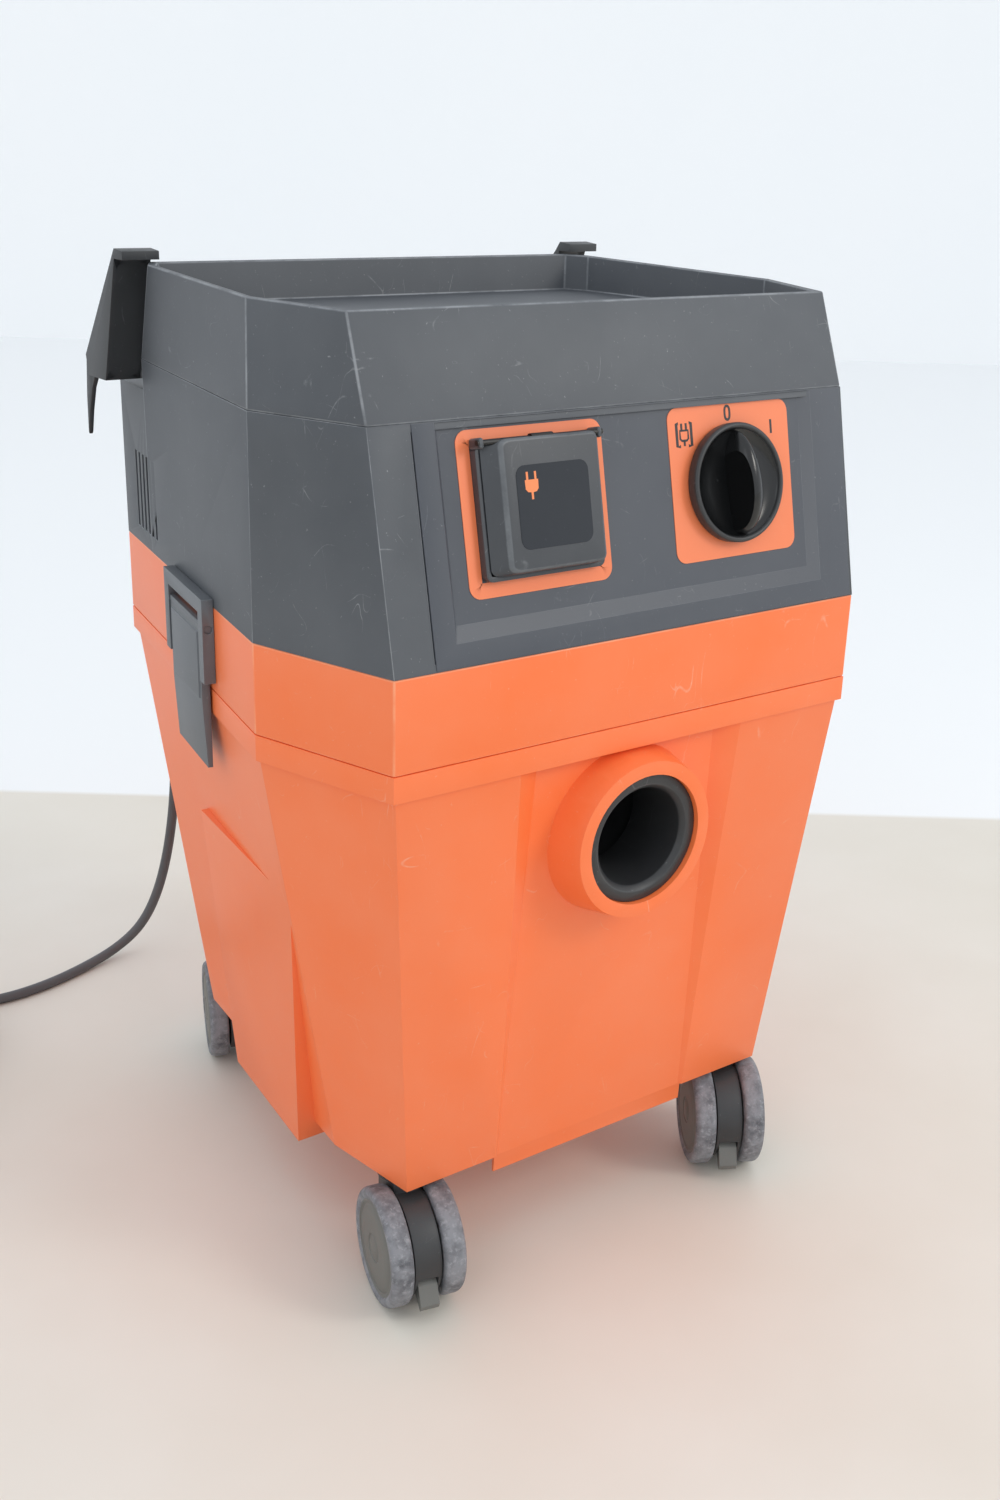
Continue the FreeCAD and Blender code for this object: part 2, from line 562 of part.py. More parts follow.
def make_hooks():
    """Two rear hooks: each clips over the rim, with a fin that hangs down behind it."""
    for side, name in (("-", "left"), ("", "right")):
        wall = "rim_tail_reach"
        profile = [
            (wall + " - 8", RIM + " + 9"), (wall + " + 4", RIM + " + 10"),
            ("hook_reach - 4", SEAM + " - 2"), ("hook_reach", RIM + " - hook_drop"),
            ("hook_reach - 6", SEAM + " - 12"), ("hook_reach - 16", SEAM + " - 14.5"),
            ("seam_tail_reach + 2.5", SEAM + " - 14.5"), (wall + " + 4.5", RIM + " + 4"),
            (wall + " - 8", RIM + " + 4")]
        owner = document.addObject("PartDesign::Body", "hook_body")
        lift = "hook_inner" if side == "" else "-(hook_inner + hook_width)"
        pad(owner, outline(owner, profile, role="YZ_Plane", lift=lift), "hook_width")
        start = "hook_inner - hook_foot" if side == "" else "-hook_inner - 1"
        foot = box(start, "seam_tail_reach + 0.5", SEAM + " - 14.5", "hook_foot + 1", "8", "34")
        piece(fuse(owner, foot), "hook_" + name)


# ---------------------------------------------------------------- latches

def make_latches():
    """Each latch: a grey bracket over the ring and a lever that swings out from pins at its top."""
    for side, turn, name in (("", "%s", "right"), ("-", "180 - %s", "left")):
        angle = turn % "atan(%s) / 1deg" % SIDE_SLOPE
        spot = dict(x=side + side_at("latch_place"), y="latch_place", z=HEM, turn=angle)
        outer = "bracket_width / 2"
        inner = "(bracket_width / 2 - cheek_width)"
        owner = document.addObject("PartDesign::Body", "bracket_body")
        pad(owner, outline(owner, mirrored([(outer, "bracket_rise"), (outer, "-bracket_drop"),
                                              (inner, "-bracket_drop"), (inner, "-4")]),
                           role="YZ_Plane", lift="joint_gap"), "bracket_proud")
        hole = cylinder("joint_gap + bracket_proud / 2", "-(%s) - 1" % outer, "-pivot_drop",
                        "pivot_radius + pivot_gap", "bracket_width + 2", (0, 1, 0))
        place(piece(cut(owner, hole), "latch_bracket_" + name), **spot)
        blade = document.addObject("PartDesign::Body", "lever_body")
        start = "joint_gap + 1"
        profile = [(start, "-pivot_drop + lever_top"),
                   (start + " + lever_thickness", "-pivot_drop + lever_top"),
                   (start + " + lever_thickness", "-lever_length * 0.7"),
                   (start + " + lever_thickness * 0.6", "-pivot_drop - lever_length"),
                   (start, "-pivot_drop - lever_length")]
        pad(blade, outline(blade, profile, role="XZ_Plane"), "2 * (%s - lever_gap)" % inner, midplane=True)
        pins = cylinder("joint_gap + bracket_proud / 2", "-(%s) + 1" % outer, "-pivot_drop",
                        "pivot_radius", "bracket_width - 2", (0, 1, 0))
        place(piece(fuse(blade, pins), "latch_lever_" + name), **spot)


# ---------------------------------------------------------------- the control panel

def make_panel():
    plate = box("-panel_half", "-(%s / 2 - panel_border - 1.4)" % PANEL_LENGTH, "-panel_wall",
                "2 * panel_half", "%s - 2 * panel_border - 2.8" % PANEL_LENGTH, "panel_wall")
    window = box("-socket_place - neck_width / 2 - fit_gap", "label_up - neck_height / 2 - fit_gap",
                 "-panel_wall - 1", "neck_width + 2 * fit_gap", "neck_height + 2 * fit_gap", "panel_wall + 2")
    hole = cylinder("knob_place", "label_up", "-panel_wall - 1", "spindle_radius + 3", "panel_wall + 2")
    place_on_panel(piece(cut(cut(plate, window), hole), "control_panel"))


def label_plate(x):
    return box("%s - label_width / 2" % x, "label_up - label_height / 2", "0", "label_width", "label_height",
               "label_thickness")


def make_labels():
    """Two thin printed plates: one round the socket, one round the switch."""
    opening = box("-socket_place - frame_width / 2 - fit_gap", "label_up - frame_height / 2 - fit_gap", "-1",
                  "frame_width + 2 * fit_gap", "frame_height + 2 * fit_gap", "label_thickness + 2")
    ring = cylinder("knob_place", "label_up", "-1", "spindle_radius + 3", "label_thickness + 2")
    around_socket = cut(label_plate("-socket_place"), opening)
    around_knob = cut(label_plate("knob_place"), ring)
    place_on_panel(piece(fuse(around_socket, around_knob), "panel_labels"))


def make_socket():
    frame = box("-frame_width / 2", "-frame_height / 2", "0", "frame_width", "frame_height", "frame_proud")
    neck = box("-neck_width / 2", "-neck_height / 2", "-well_depth", "neck_width", "neck_height",
               "well_depth + 1")
    ears = []
    for side in ("", "-"):
        start = "flap_width / 2 + 0.4" if side == "" else "-flap_width / 2 - 4.4"
        ears.append(box(start, FLAP_HINGE_UP + " - 4.5", "frame_proud - 1", "4", "7.5",
                        "barrel_radius + 4.5"))
    well = box("-neck_width / 2 + well_wall", "-neck_height / 2 + well_wall", "-well_depth + well_wall",
               "neck_width - 2 * well_wall", "neck_height - 2 * well_wall", "well_depth + frame_proud")
    contact = cylinder("0", "0", "-well_depth + 1", "contact_radius", "well_depth - 14")
    solid = fuse(cut(fuse(frame, neck), well), contact, *ears)
    holes = [cylinder(x, "0", "-well_depth + 6", "contact_hole", "well_depth")
             for x in ("contact_spread", "-contact_spread")]
    holes.append(cylinder("-flap_width / 2 - 5", FLAP_HINGE_UP, FLAP_HINGE_OUT, "pin_radius",
                          "flap_width + 10", (1, 0, 0)))
    place_on_panel(piece(cut(solid, fuse(*holes)), "socket_insert"), "-socket_place", "label_up")


def make_flap():
    """The sprung socket lid, its hinge pin and its spring."""
    low = "frame_proud + joint_gap"
    lid = box("-flap_width / 2", "-flap_height / 2", low, "flap_width", "flap_height", "flap_depth")
    hollow = box("-flap_width / 2 + flap_wall", "-flap_height / 2 + flap_wall", low + " - 1",
                 "flap_width - 2 * flap_wall", "flap_height - 2 * flap_wall", "flap_depth - flap_wall + 1")
    barrel = cylinder("-flap_width / 2", FLAP_HINGE_UP, FLAP_HINGE_OUT, "barrel_radius", "flap_width",
                      (1, 0, 0))
    web = box("-flap_width / 2", "flap_height / 2 - 1", FLAP_HINGE_OUT, "flap_width", "barrel_radius",
              "barrel_radius")
    gap = box("-9", "flap_height / 2", low, "18", "3 * barrel_radius", "4 * barrel_radius")
    bore = cylinder("-flap_width / 2 - 1", FLAP_HINGE_UP, FLAP_HINGE_OUT, "pin_radius + pin_gap",
                    "flap_width + 2", (1, 0, 0))
    solid = cut(cut(fuse(cut(lid, hollow), barrel, web), gap), bore)
    place_on_panel(piece(solid, "socket_flap"), "-socket_place", "label_up")
    end = "(flap_width / 2 + 4)"
    pin = turned("flap_pin", [("-" + end, "0"), (end, "0"), (end, "pin_radius"), ("-" + end, "pin_radius")],
                 lift=FLAP_HINGE_OUT, shift=FLAP_HINGE_UP)
    place_on_panel(pin, "-socket_place", "label_up")
    coil = cylinder("-7", FLAP_HINGE_UP, FLAP_HINGE_OUT, "pin_radius + 1", "14", (1, 0, 0))
    core = cylinder("-8", FLAP_HINGE_UP, FLAP_HINGE_OUT, "pin_radius + 0.2", "16", (1, 0, 0))
    place_on_panel(piece(cut(coil, core), "flap_spring"), "-socket_place", "label_up")


def make_switch():
    """Rotary switch behind the panel, its spindle, and the big grip knob in front."""
    case = box("-switch_side / 2", "-switch_side / 2", "-panel_wall - switch_depth", "switch_side",
               "switch_side", "switch_depth")
    bore = cylinder("0", "0", "-panel_wall - switch_depth + 4", "spindle_radius + spindle_gap",
                    "switch_depth")
    place_on_panel(piece(cut(case, bore), "switch_body"), "knob_place", "label_up")
    face = "label_thickness + joint_gap"
    low = "-panel_wall - switch_depth + 5"
    rod = turned("knob_spindle", [("0", low), ("spindle_radius", low), ("spindle_radius", "7"), ("0", "7")],
                 axis="V_Axis", role="XZ_Plane")
    place_on_panel(rod, "knob_place", "label_up")
    disc = cylinder("0", "0", face, "knob_radius", "knob_rim")
    dish = cylinder("0", "0", face + " + 4", "knob_radius - 5", "knob_rim")
    blade = box("-grip_width / 2", "-knob_radius + 3", face + " + 1", "grip_width", "2 * knob_radius - 6",
                "grip_height")
    socket = cylinder("0", "0", face + " - 1", "spindle_radius", "8 - label_thickness")
    place_on_panel(piece(cut(fuse(cut(disc, dish), blade), socket), "knob"), "knob_place", "label_up")


# ---------------------------------------------------------------- inside the head

def make_motor():
    plate_top = "(%s + seal_height + plate_height)" % RING_LOW
    turned("motor_mount", [("fan_radius - 6", plate_top), ("fan_radius + 6", plate_top),
                           ("fan_radius + 6", plate_top + " + mount_height"),
                           ("fan_radius - 6", plate_top + " + mount_height")], axis="V_Axis", role="XZ_Plane")
    base = "(%s + mount_height)" % plate_top
    lid = "(%s + fan_height)" % base
    turned("motor", [
        ("shaft_radius + shaft_gap", lid), ("fan_radius", lid), ("fan_radius", base),
        ("fan_radius + 4", base), ("fan_radius + 4", lid + " + 4"), ("motor_radius", lid + " + 12"),
        ("motor_radius", base + " + motor_height"), ("motor_radius - 20", base + " + motor_height + 8"),
        ("shaft_radius + shaft_gap", base + " + motor_height + 8")],
        axis="V_Axis", role="XZ_Plane")
    turned("fan_wheel", [
        ("0", base + " + fan_gap"), ("fan_radius - fan_gap", base + " + fan_gap"),
        ("fan_radius - fan_gap", lid + " - fan_gap"), ("shaft_radius", lid + " - fan_gap"),
        ("shaft_radius", base + " + motor_height"), ("0", base + " + motor_height")],
        axis="V_Axis", role="XZ_Plane")


def make_filter():
    """The filter hangs under the plate in the tub; a cap closes its foot."""
    top = "(%s + seal_height)" % RING_LOW
    turned("filter", [("filter_bore", top), ("filter_radius", top),
                      ("filter_radius", top + " - filter_height"),
                      ("filter_bore", top + " - filter_height")], axis="V_Axis", role="XZ_Plane")
    foot = top + " - filter_height"
    turned("filter_cap", [("0", foot), ("filter_radius + 2", foot), ("filter_radius + 2", foot + " - 4"),
                          ("14", foot + " - cap_height"), ("0", foot + " - cap_height")],
           axis="V_Axis", role="XZ_Plane")


def make_screws():
    """Four screws from below hold the plate to bosses in the ring."""
    screws = []
    level = "(%s + seal_height)" % RING_LOW
    for x in ("screw_half", "-screw_half"):
        for y in ("screw_reach", "-screw_reach"):
            screws.append(cylinder(x, y, level + " + plate_height", "screw_head", "3"))
    piece(fuse(*screws), "plate_screws")


# ---------------------------------------------------------------- the mains lead

# The lead's own route, from the gland down to the floor and on to the coil.
CORD_ROUTE = [
    (-60, 233, 440), (-60, 275, 440), (-60, 311, 412), (-60, 328, 358), (-60, 332, 290), (-60, 331, 220),
    (-63, 328, 155), (-71, 329, 98), (-82, 333, 54), (-96, 340, 23), (-120, 341, 7), (-152, 330, 4),
    (-188, 318, 4), (-224, 314, 4), (-252, 320.5, 4), (-274, 327.5, 4),
]


def make_gland():
    reach = "body_tail_reach"
    points = [("0", reach), ("gland_radius", reach), ("gland_radius", reach + " + gland_flange"),
              ("gland_radius - 4", reach + " + gland_flange + 1"),
              ("cord_radius + 1.5", reach + " + gland_flange + gland_length"),
              ("0", reach + " + gland_flange + gland_length")]
    return place(turned("cord_gland", points, axis="V_Axis"), x="-gland_place", z=GLAND)


def rounded_path(route):
    """Straight runs joined by tangent arcs; each arc is as large as its two runs allow."""
    edges = []
    start = route[0]
    for before, corner, after in zip(route, route[1:], route[2:]):
        back = (before - corner)
        ahead = (after - corner)
        shorter = min(back.Length, ahead.Length)
        back.normalize()
        ahead.normalize()
        half_turn = (math.pi - back.getAngle(ahead)) / 2
        radius = 0.45 * shorter / math.tan(half_turn)
        print("bend radius %.0f mm, run %.0f mm" % (radius, shorter))
        first = corner + back * (0.45 * shorter)
        last = corner + ahead * (0.45 * shorter)
        inward = (back + ahead).normalize()
        middle = corner + inward * (radius / math.cos(half_turn) - radius)
        edges.append(Part.LineSegment(start, first).toShape())
        edges.append(Part.Arc(first, middle, last).toShape())
        start = last
    edges.append(Part.LineSegment(start, route[-1]).toShape())
    return Part.Wire(edges)


def cord_route(gland):
    """The drawn route with its upper end moved to the gland's outlet; its lower end stays lying."""
    document.recompute()
    box = gland.Shape.BoundBox
    outlet = Vector(box.Center.x, box.YMax, box.Center.z)
    first = Vector(*CORD_ROUTE[0])
    fall = first.z - CORD_ROUTE[-1][2]
    return [Vector(*point) + (outlet - first) * ((point[2] - CORD_ROUTE[-1][2]) / fall)
            for point in CORD_ROUTE]


def make_cord(gland):
    """The free lead is a plain tube along its route; the rest of it is wound in a coil."""
    radius = float(sheet.get("cord_radius"))
    route = cord_route(gland)
    path = rounded_path(route)
    ring = Part.Wire([Part.Circle(route[0], route[1] - route[0], radius).toShape()])
    tube = path.makePipeShell([ring], True, True)
    expected = math.pi * radius ** 2 * path.Length
    print("cord tube %.0f mm long, volume ratio %.4f" % (path.Length, tube.Volume / expected))
    item = document.addObject("Part::Feature", "cord_tube_shape")
    item.Shape = tube
    piece(item, "cord_tube")
    coil = turned("cord_coil", [("coil_inner", "0.1"), ("coil_outer", "0.1"), ("coil_outer", "coil_height"),
                                ("coil_inner", "coil_height")], axis="V_Axis", role="XZ_Plane")
    place(coil, x="coil_x", y="coil_y")


def make_plug():
    """A round two-pin plug lying on its side next to the coil."""
    body_rod = cylinder("0", "0", "0", "plug_radius", "plug_body", (1, 0, 0))
    tail = document.addObject("Part::Cone", "tail")
    tail.Placement = Placement(Vector(0, 0, 0), Rotation(Vector(0, 0, 1), Vector(-1, 0, 0)))
    bind(tail, Radius1="plug_radius - 3", Radius2="cord_radius + 1.5", Height="plug_body * 0.7")
    pins = [cylinder("plug_body - 1", y, "0", "pin_thickness", "pin_length + 1", (1, 0, 0))
            for y in ("pin_spread", "-pin_spread")]
    place(piece(fuse(body_rod, tail, *pins), "cord_plug"), x="plug_x", y="plug_y", z="plug_radius + 0.1",
          turn="plug_turn")


# ---------------------------------------------------------------- build, check and write

def check_pieces():
    """Stop on any object that failed, and on any sub-part with no sound shape."""
    for item in document.Objects:
        if "Invalid" in item.State or "Error" in item.State:
            raise RuntimeError("%s failed: %s" % (item.Name, item.State))
    for item in pieces:
        if item.Shape.isNull() or not item.Shape.isValid():
            raise RuntimeError("%s has no sound shape" % item.Label)


def main():
    fill_sheet()
    make_container()
    make_inlet()
    make_caster_bushes()
    for corner, (x, y) in CASTER_SPOTS.items():
        make_caster(corner, x, y, "-%s_yaw" % corner, corner.startswith("front"))
    make_ring()
    make_head_seal()
    make_motor_plate()
    make_housing()
    make_cover()
    make_hooks()
    make_latches()
    make_panel()
    make_labels()
    make_socket()
    make_flap()
    make_switch()
    make_motor()
    make_filter()
    make_screws()
    make_cord(make_gland())
    make_plug()
    document.recompute()
    check_pieces()
    os.makedirs("parts", exist_ok=True)
    for item in pieces:
        item.Shape.exportStep("parts/%s.step" % item.Label)
        print(item.Label, len(item.Shape.Solids), round(item.Shape.Volume / 1000, 1), "cm3")
    print(len(pieces), "nodes")


main()
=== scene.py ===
"""Looks of the shop vacuum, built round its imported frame. Metres, +Z up, front towards -Y."""
import bmesh
import bpy
import json
import math
from mathutils import Matrix, Vector


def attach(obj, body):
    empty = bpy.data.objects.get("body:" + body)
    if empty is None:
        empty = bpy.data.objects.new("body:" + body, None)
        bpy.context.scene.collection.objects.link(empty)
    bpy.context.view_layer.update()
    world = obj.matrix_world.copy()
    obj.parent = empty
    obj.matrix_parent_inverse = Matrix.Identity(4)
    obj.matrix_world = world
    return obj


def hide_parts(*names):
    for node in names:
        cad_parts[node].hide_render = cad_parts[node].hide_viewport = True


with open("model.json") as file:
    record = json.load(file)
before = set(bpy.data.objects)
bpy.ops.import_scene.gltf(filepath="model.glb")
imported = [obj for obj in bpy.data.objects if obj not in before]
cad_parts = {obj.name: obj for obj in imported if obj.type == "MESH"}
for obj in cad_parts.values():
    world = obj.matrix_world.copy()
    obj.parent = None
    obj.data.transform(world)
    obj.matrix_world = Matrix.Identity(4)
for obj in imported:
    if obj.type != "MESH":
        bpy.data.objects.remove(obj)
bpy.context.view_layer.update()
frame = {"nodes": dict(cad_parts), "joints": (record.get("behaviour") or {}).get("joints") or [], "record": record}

MM = 0.001


# The way the camera looks over the floor, and how far along it the floor turns paler.
BACKWARDS = (0.584, 0.812)
ZONE_EDGE = 0.565
# The camera's place, its yaw, pitch and roll in degrees, and its lens in millimetres on a 36 mm sensor.
CAMERA_PLACE = (-0.5682, -0.8385, 0.6647)
CAMERA_TURNS = (-35.74, -20.87, 1.63)
CAMERA_LENS = 38.39
# Half the width of the floor and of the wall, how far back the wall stands, and the height of its middle.
STAGE_HALF = 6
WALL_DISTANCE = 4.5
WALL_MIDDLE = 5.9
# What both lights point at.
LIGHT_AIM = (0, 0, 0.3)


# ---------------------------------------------------------------- camera and light

def make_camera():
    """A camera above the front left corner, looking down a little."""
    yaw, pitch, roll = (math.radians(a) for a in CAMERA_TURNS)
    ahead = Vector((-math.sin(yaw) * math.cos(pitch), math.cos(yaw) * math.cos(pitch), math.sin(pitch)))
    right = ahead.cross(Vector((0, 0, 1))).normalized()
    up = right.cross(ahead)
    side = right * math.cos(roll) + up * math.sin(roll)
    top = up * math.cos(roll) - right * math.sin(roll)
    data = bpy.data.cameras.new("camera")
    data.lens = CAMERA_LENS
    data.sensor_width = 36
    data.clip_end = 50
    camera = bpy.data.objects.new("camera", data)
    turn = Matrix((side, top, -ahead)).transposed().to_4x4()
    camera.matrix_world = Matrix.Translation(CAMERA_PLACE) @ turn
    bpy.context.scene.collection.objects.link(camera)
    bpy.context.scene.camera = camera


def make_light(name, place, size, power, colour):
    """A soft round area light."""
    data = bpy.data.lights.new(name, "AREA")
    data.shape = "DISK"
    data.size = size
    data.energy = power
    data.color = linear(colour)[:3]
    lamp = bpy.data.objects.new(name, data)
    lamp.location = place
    lamp.rotation_mode = "QUATERNION"
    lamp.rotation_quaternion = (Vector(LIGHT_AIM) - Vector(place)).to_track_quat("-Z", "Y")
    bpy.context.scene.collection.objects.link(lamp)


# ---------------------------------------------------------------- shader helpers

def linear(code):
    """An sRGB hex colour as the linear RGBA that shaders work in."""
    channels = [int(code[k:k + 2], 16) / 255 for k in (0, 2, 4)]
    return (*(c / 12.92 if c <= 0.04045 else ((c + 0.055) / 1.055) ** 2.4 for c in channels), 1.0)


def add(tree, kind, links=None, values=None, **settings):
    """One node: its properties, its input values and the sockets that feed it."""
    node = tree.nodes.new("ShaderNode" + kind)
    for name, value in settings.items():
        setattr(node, name, value)
    for name, value in (values or {}).items():
        node.inputs[name].default_value = value
    for name, source in (links or {}).items():
        tree.links.new(source, node.inputs[name])
    return node


def ramp(tree, source, low, high):
    """A soft step from 0 to 1 between two levels of a texture."""
    node = add(tree, "MapRange", {"Value": source}, {"From Min": low, "From Max": high}, clamp=True)
    return node.outputs["Result"]


def times(tree, a, b):
    """The product of two values; each is a number or a socket."""
    node = add(tree, "Math", operation="MULTIPLY")
    for socket, value in zip(node.inputs, (a, b)):
        if isinstance(value, (int, float)):
            socket.default_value = value
        else:
            tree.links.new(value, socket)
    return node.outputs[0]


def mix(tree, factor, a, b):
    """Colour a turning into colour b; each is a hex code or a socket."""
    node = add(tree, "Mix", {"Factor": factor}, data_type="RGBA")
    for socket, value in zip((node.inputs[6], node.inputs[7]), (a, b)):
        if isinstance(value, str):
            socket.default_value = linear(value)
        else:
            tree.links.new(value, socket)
    return node.outputs[2]


def start_material(name):
    """An empty material with its shader, and the coordinates of the piece in metres."""
    material = bpy.data.materials.new(name)
    material.use_nodes = True
    tree = material.node_tree
    tree.nodes.clear()
    output = add(tree, "OutputMaterial")
    shader = add(tree, "BsdfPrincipled")
    tree.links.new(shader.outputs[0], output.inputs["Surface"])
    place = add(tree, "TexCoord").outputs["Object"]
    return material, tree, shader, place


# Plastics bend light about this much, and their colour drifts a little over a broad face.
PLASTIC_IOR = 1.53
MOTTLE = 0.08


def moulded(name, colour, rubbed_and_highlight, dust, roughness, haze=0.06, specks=0.4, scratch=0.5, grain=0.9, wear_and_highlight=0.6):
    """Injection-moulded plastic after years of site work.

    Moulding grain, a thin film of dust, fine pale specks, hairline scratches, and rounded edges painted paler:
    partly whitening from wear, partly a painted highlight.
    """
    material, tree, shader, place = start_material(name)
    broad = add(tree, "TexNoise", {"Vector": place}, {"Scale": 9.0, "Detail": 4.0, "Roughness": 0.6})
    cloudy = add(tree, "TexNoise", {"Vector": place}, {"Scale": 34.0, "Detail": 8.0, "Roughness": 0.7})
    # A speck of dust is under 1 mm; it is drawn about 2 mm wide so that it shows.
    speck = add(tree, "TexNoise", {"Vector": place}, {"Scale": 420.0, "Detail": 3.0, "Roughness": 0.6})
    # Hairline scratches: thin level lines of a stretched noise, kept only in patches.
    lines = []
    for turn, stretch in ((0.5, (9, 60, 22)), (-0.8, (50, 10, 30)), (1.9, (24, 30, 7))):
        run = add(tree, "Mapping", {"Vector": place},
                  {"Rotation": (turn, turn * 0.7, turn * 1.3), "Scale": stretch})
        field = add(tree, "TexNoise", {"Vector": run.outputs[0]},
                    {"Scale": 1.0, "Detail": 1.5, "Roughness": 0.4})
        off = add(tree, "Math", {0: field.outputs["Fac"]}, {1: 0.5}, operation="SUBTRACT")
        size = add(tree, "Math", {0: off.outputs[0]}, operation="ABSOLUTE")
        lines.append(ramp(tree, size.outputs[0], 0.0029, 0.0004))
    both = add(tree, "Math", {0: lines[0], 1: lines[1]}, operation="MAXIMUM").outputs[0]
    both = add(tree, "Math", {0: both, 1: lines[2]}, operation="MAXIMUM").outputs[0]
    kept = ramp(tree, cloudy.outputs["Fac"], 0.55, 0.72)
    hair = times(tree, times(tree, both, kept), scratch)
    film = times(tree, ramp(tree, broad.outputs["Fac"], 0.3, 0.8), haze)
    dots = times(tree, ramp(tree, speck.outputs["Fac"], 0.68, 0.78), specks)
    # Rounded edges turn paler: partly real whitening from wear, partly a painted highlight along every edge.
    edge = add(tree, "Attribute", attribute_name="rub_and_highlight")
    rub_and_highlight = times(tree, times(tree, edge.outputs["Fac"], ramp(tree, cloudy.outputs["Fac"], 0.3, 0.6)), wear_and_highlight)
    tone = mix(tree, times(tree, broad.outputs["Fac"], MOTTLE), colour, rubbed_and_highlight)
    tone = mix(tree, film, tone, dust)
    tone = mix(tree, dots, tone, dust)
    tone = mix(tree, hair, tone, dust)
    tone = mix(tree, rub_and_highlight, tone, rubbed_and_highlight)
    tree.links.new(tone, shader.inputs["Base Color"])
    matt = add(tree, "Math", {0: film}, {1: 0.5, 2: roughness}, operation="MULTIPLY_ADD")
    matt = add(tree, "Math", {0: hair, 2: matt.outputs[0]}, {1: 0.2}, operation="MULTIPLY_ADD",
               use_clamp=True)
    tree.links.new(matt.outputs[0], shader.inputs["Roughness"])
    shader.inputs["IOR"].default_value = PLASTIC_IOR
    # The spark-eroded grain is about 0.5 mm; it is drawn at about 1.2 mm so that it shows.
    pits = add(tree, "TexNoise", {"Vector": place}, {"Scale": 830.0, "Detail": 2.0, "Roughness": 0.5})
    relief = add(tree, "Bump", {"Height": pits.outputs["Fac"]},
                 {"Strength": 0.10 * grain, "Distance": 0.0004})
    tree.links.new(relief.outputs[0], shader.inputs["Normal"])
    return material


def worn_rubber(name, colour, grime, pale, roughness):
    """Soft tyre rubber: dark grime rolled into it in streaks, and paler dust where it has dried."""
    material, tree, shader, place = start_material(name)
    streaks = add(tree, "TexNoise", {"Vector": place}, {"Scale": 70.0, "Detail": 6.0, "Roughness": 0.65})
    grit = add(tree, "TexNoise", {"Vector": place}, {"Scale": 300.0, "Detail": 4.0, "Roughness": 0.7})
    tone = mix(tree, ramp(tree, streaks.outputs["Fac"], 0.42, 0.66), colour, grime)
    tone = mix(tree, times(tree, ramp(tree, grit.outputs["Fac"], 0.52, 0.7), 0.6), tone, pale)
    tree.links.new(tone, shader.inputs["Base Color"])
    shader.inputs["Roughness"].default_value = roughness
    shader.inputs["IOR"].default_value = 1.52
    bumps = add(tree, "Bump", {"Height": grit.outputs["Fac"]}, {"Strength": 0.25, "Distance": 0.0006})
    tree.links.new(bumps.outputs[0], shader.inputs["Normal"])
    return material


def metal(name, colour, roughness):
    """Bare or plated metal, a little uneven in its polish."""
    material, tree, shader, place = start_material(name)
    cloud = add(tree, "TexNoise", {"Vector": place}, {"Scale": 60.0, "Detail": 5.0})
    tone = mix(tree, times(tree, cloud.outputs["Fac"], 0.35), colour, "77756F")
    tree.links.new(tone, shader.inputs["Base Color"])
    matt = add(tree, "Math", {0: cloud.outputs["Fac"]}, {1: 0.25, 2: roughness - 0.12},
               operation="MULTIPLY_ADD")
    tree.links.new(matt.outputs[0], shader.inputs["Roughness"])
    shader.inputs["Metallic"].default_value = 1.0
    return material


# ---------------------------------------------------------------- mesh helpers

def taken(node):
    """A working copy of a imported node's mesh, merged, with its flat faces whole again."""
    mesh = bmesh.new()
    mesh.from_mesh(frame["nodes"][node].data)
    bmesh.ops.remove_doubles(mesh, verts=mesh.verts, dist=0.00001)
    bmesh.ops.dissolve_limit(mesh, angle_limit=math.radians(0.5), verts=mesh.verts, edges=mesh.edges)
    return mesh


def sharp_edges(mesh, low):
    """Edges where two faces meet at more than an angle in degrees."""
    limit = math.radians(low)
    return [e for e in mesh.edges if len(e.link_faces) == 2 and e.calc_face_angle(0) > limit]


def soften(mesh, edges, width, segments):
    """Round edges over, and note the rounding in an attribute that the finishes paint paler, as wear and as a
    painted highlight.
    """
    layer = mesh.verts.layers.float.get("rub_and_highlight") or mesh.verts.layers.float.new("rub_and_highlight")
    made = bmesh.ops.bevel(mesh, geom=edges, offset=width, offset_type="OFFSET", segments=segments,
                           profile=0.5, affect="EDGES", clamp_overlap=True, material=-1, loop_slide=True)
    rounding = set(made["faces"])
    for vertex in made["verts"]:
        vertex[layer] = float(all(face in rounding for face in vertex.link_faces))


def points_of(geometry):
    return [item for item in geometry if isinstance(item, bmesh.types.BMVert)]


def faces_of(geometry):
    return [item for item in geometry if isinstance(item, bmesh.types.BMFace)]


def finish_mesh(mesh, name, body, material, replaces=(), smooth=30):
    """Turn a working mesh into a piece that rides on its body."""
    bmesh.ops.remove_doubles(mesh, verts=mesh.verts, dist=0.000005)
    bmesh.ops.recalc_face_normals(mesh, faces=mesh.faces)
    for face in mesh.faces:
        face.smooth = True
    limit = math.radians(smooth)
    for edge in mesh.edges:
        edge.smooth = len(edge.link_faces) == 2 and edge.calc_face_angle(0) < limit
    data = bpy.data.meshes.new(name)
    mesh.to_mesh(data)
    mesh.free()
    data.materials.append(material)
    item = bpy.data.objects.new(name, data)
    bpy.context.scene.collection.objects.link(item)
    if body:
        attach(item, body)
    if replaces:
        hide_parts(*replaces)
    return item


# ---------------------------------------------------------------- the mains lead

# The lead's route in millimetres, from the gland down to the floor and on to the coil.
CORD_ROUTE = [
    (-60, 233, 440), (-60, 275, 440), (-60, 311, 412), (-60, 328, 358), (-60, 332, 290), (-60, 331, 220),
    (-63, 328, 155), (-71, 329, 98), (-82, 333, 54), (-96, 340, 23), (-120, 341, 7), (-152, 330, 4),
    (-188, 318, 4), (-224, 314, 4), (-252, 320.5, 4), (-274, 327.5, 4),
]
COIL_MIDDLE = (-322, 281)
CORD_DIAMETER = 8
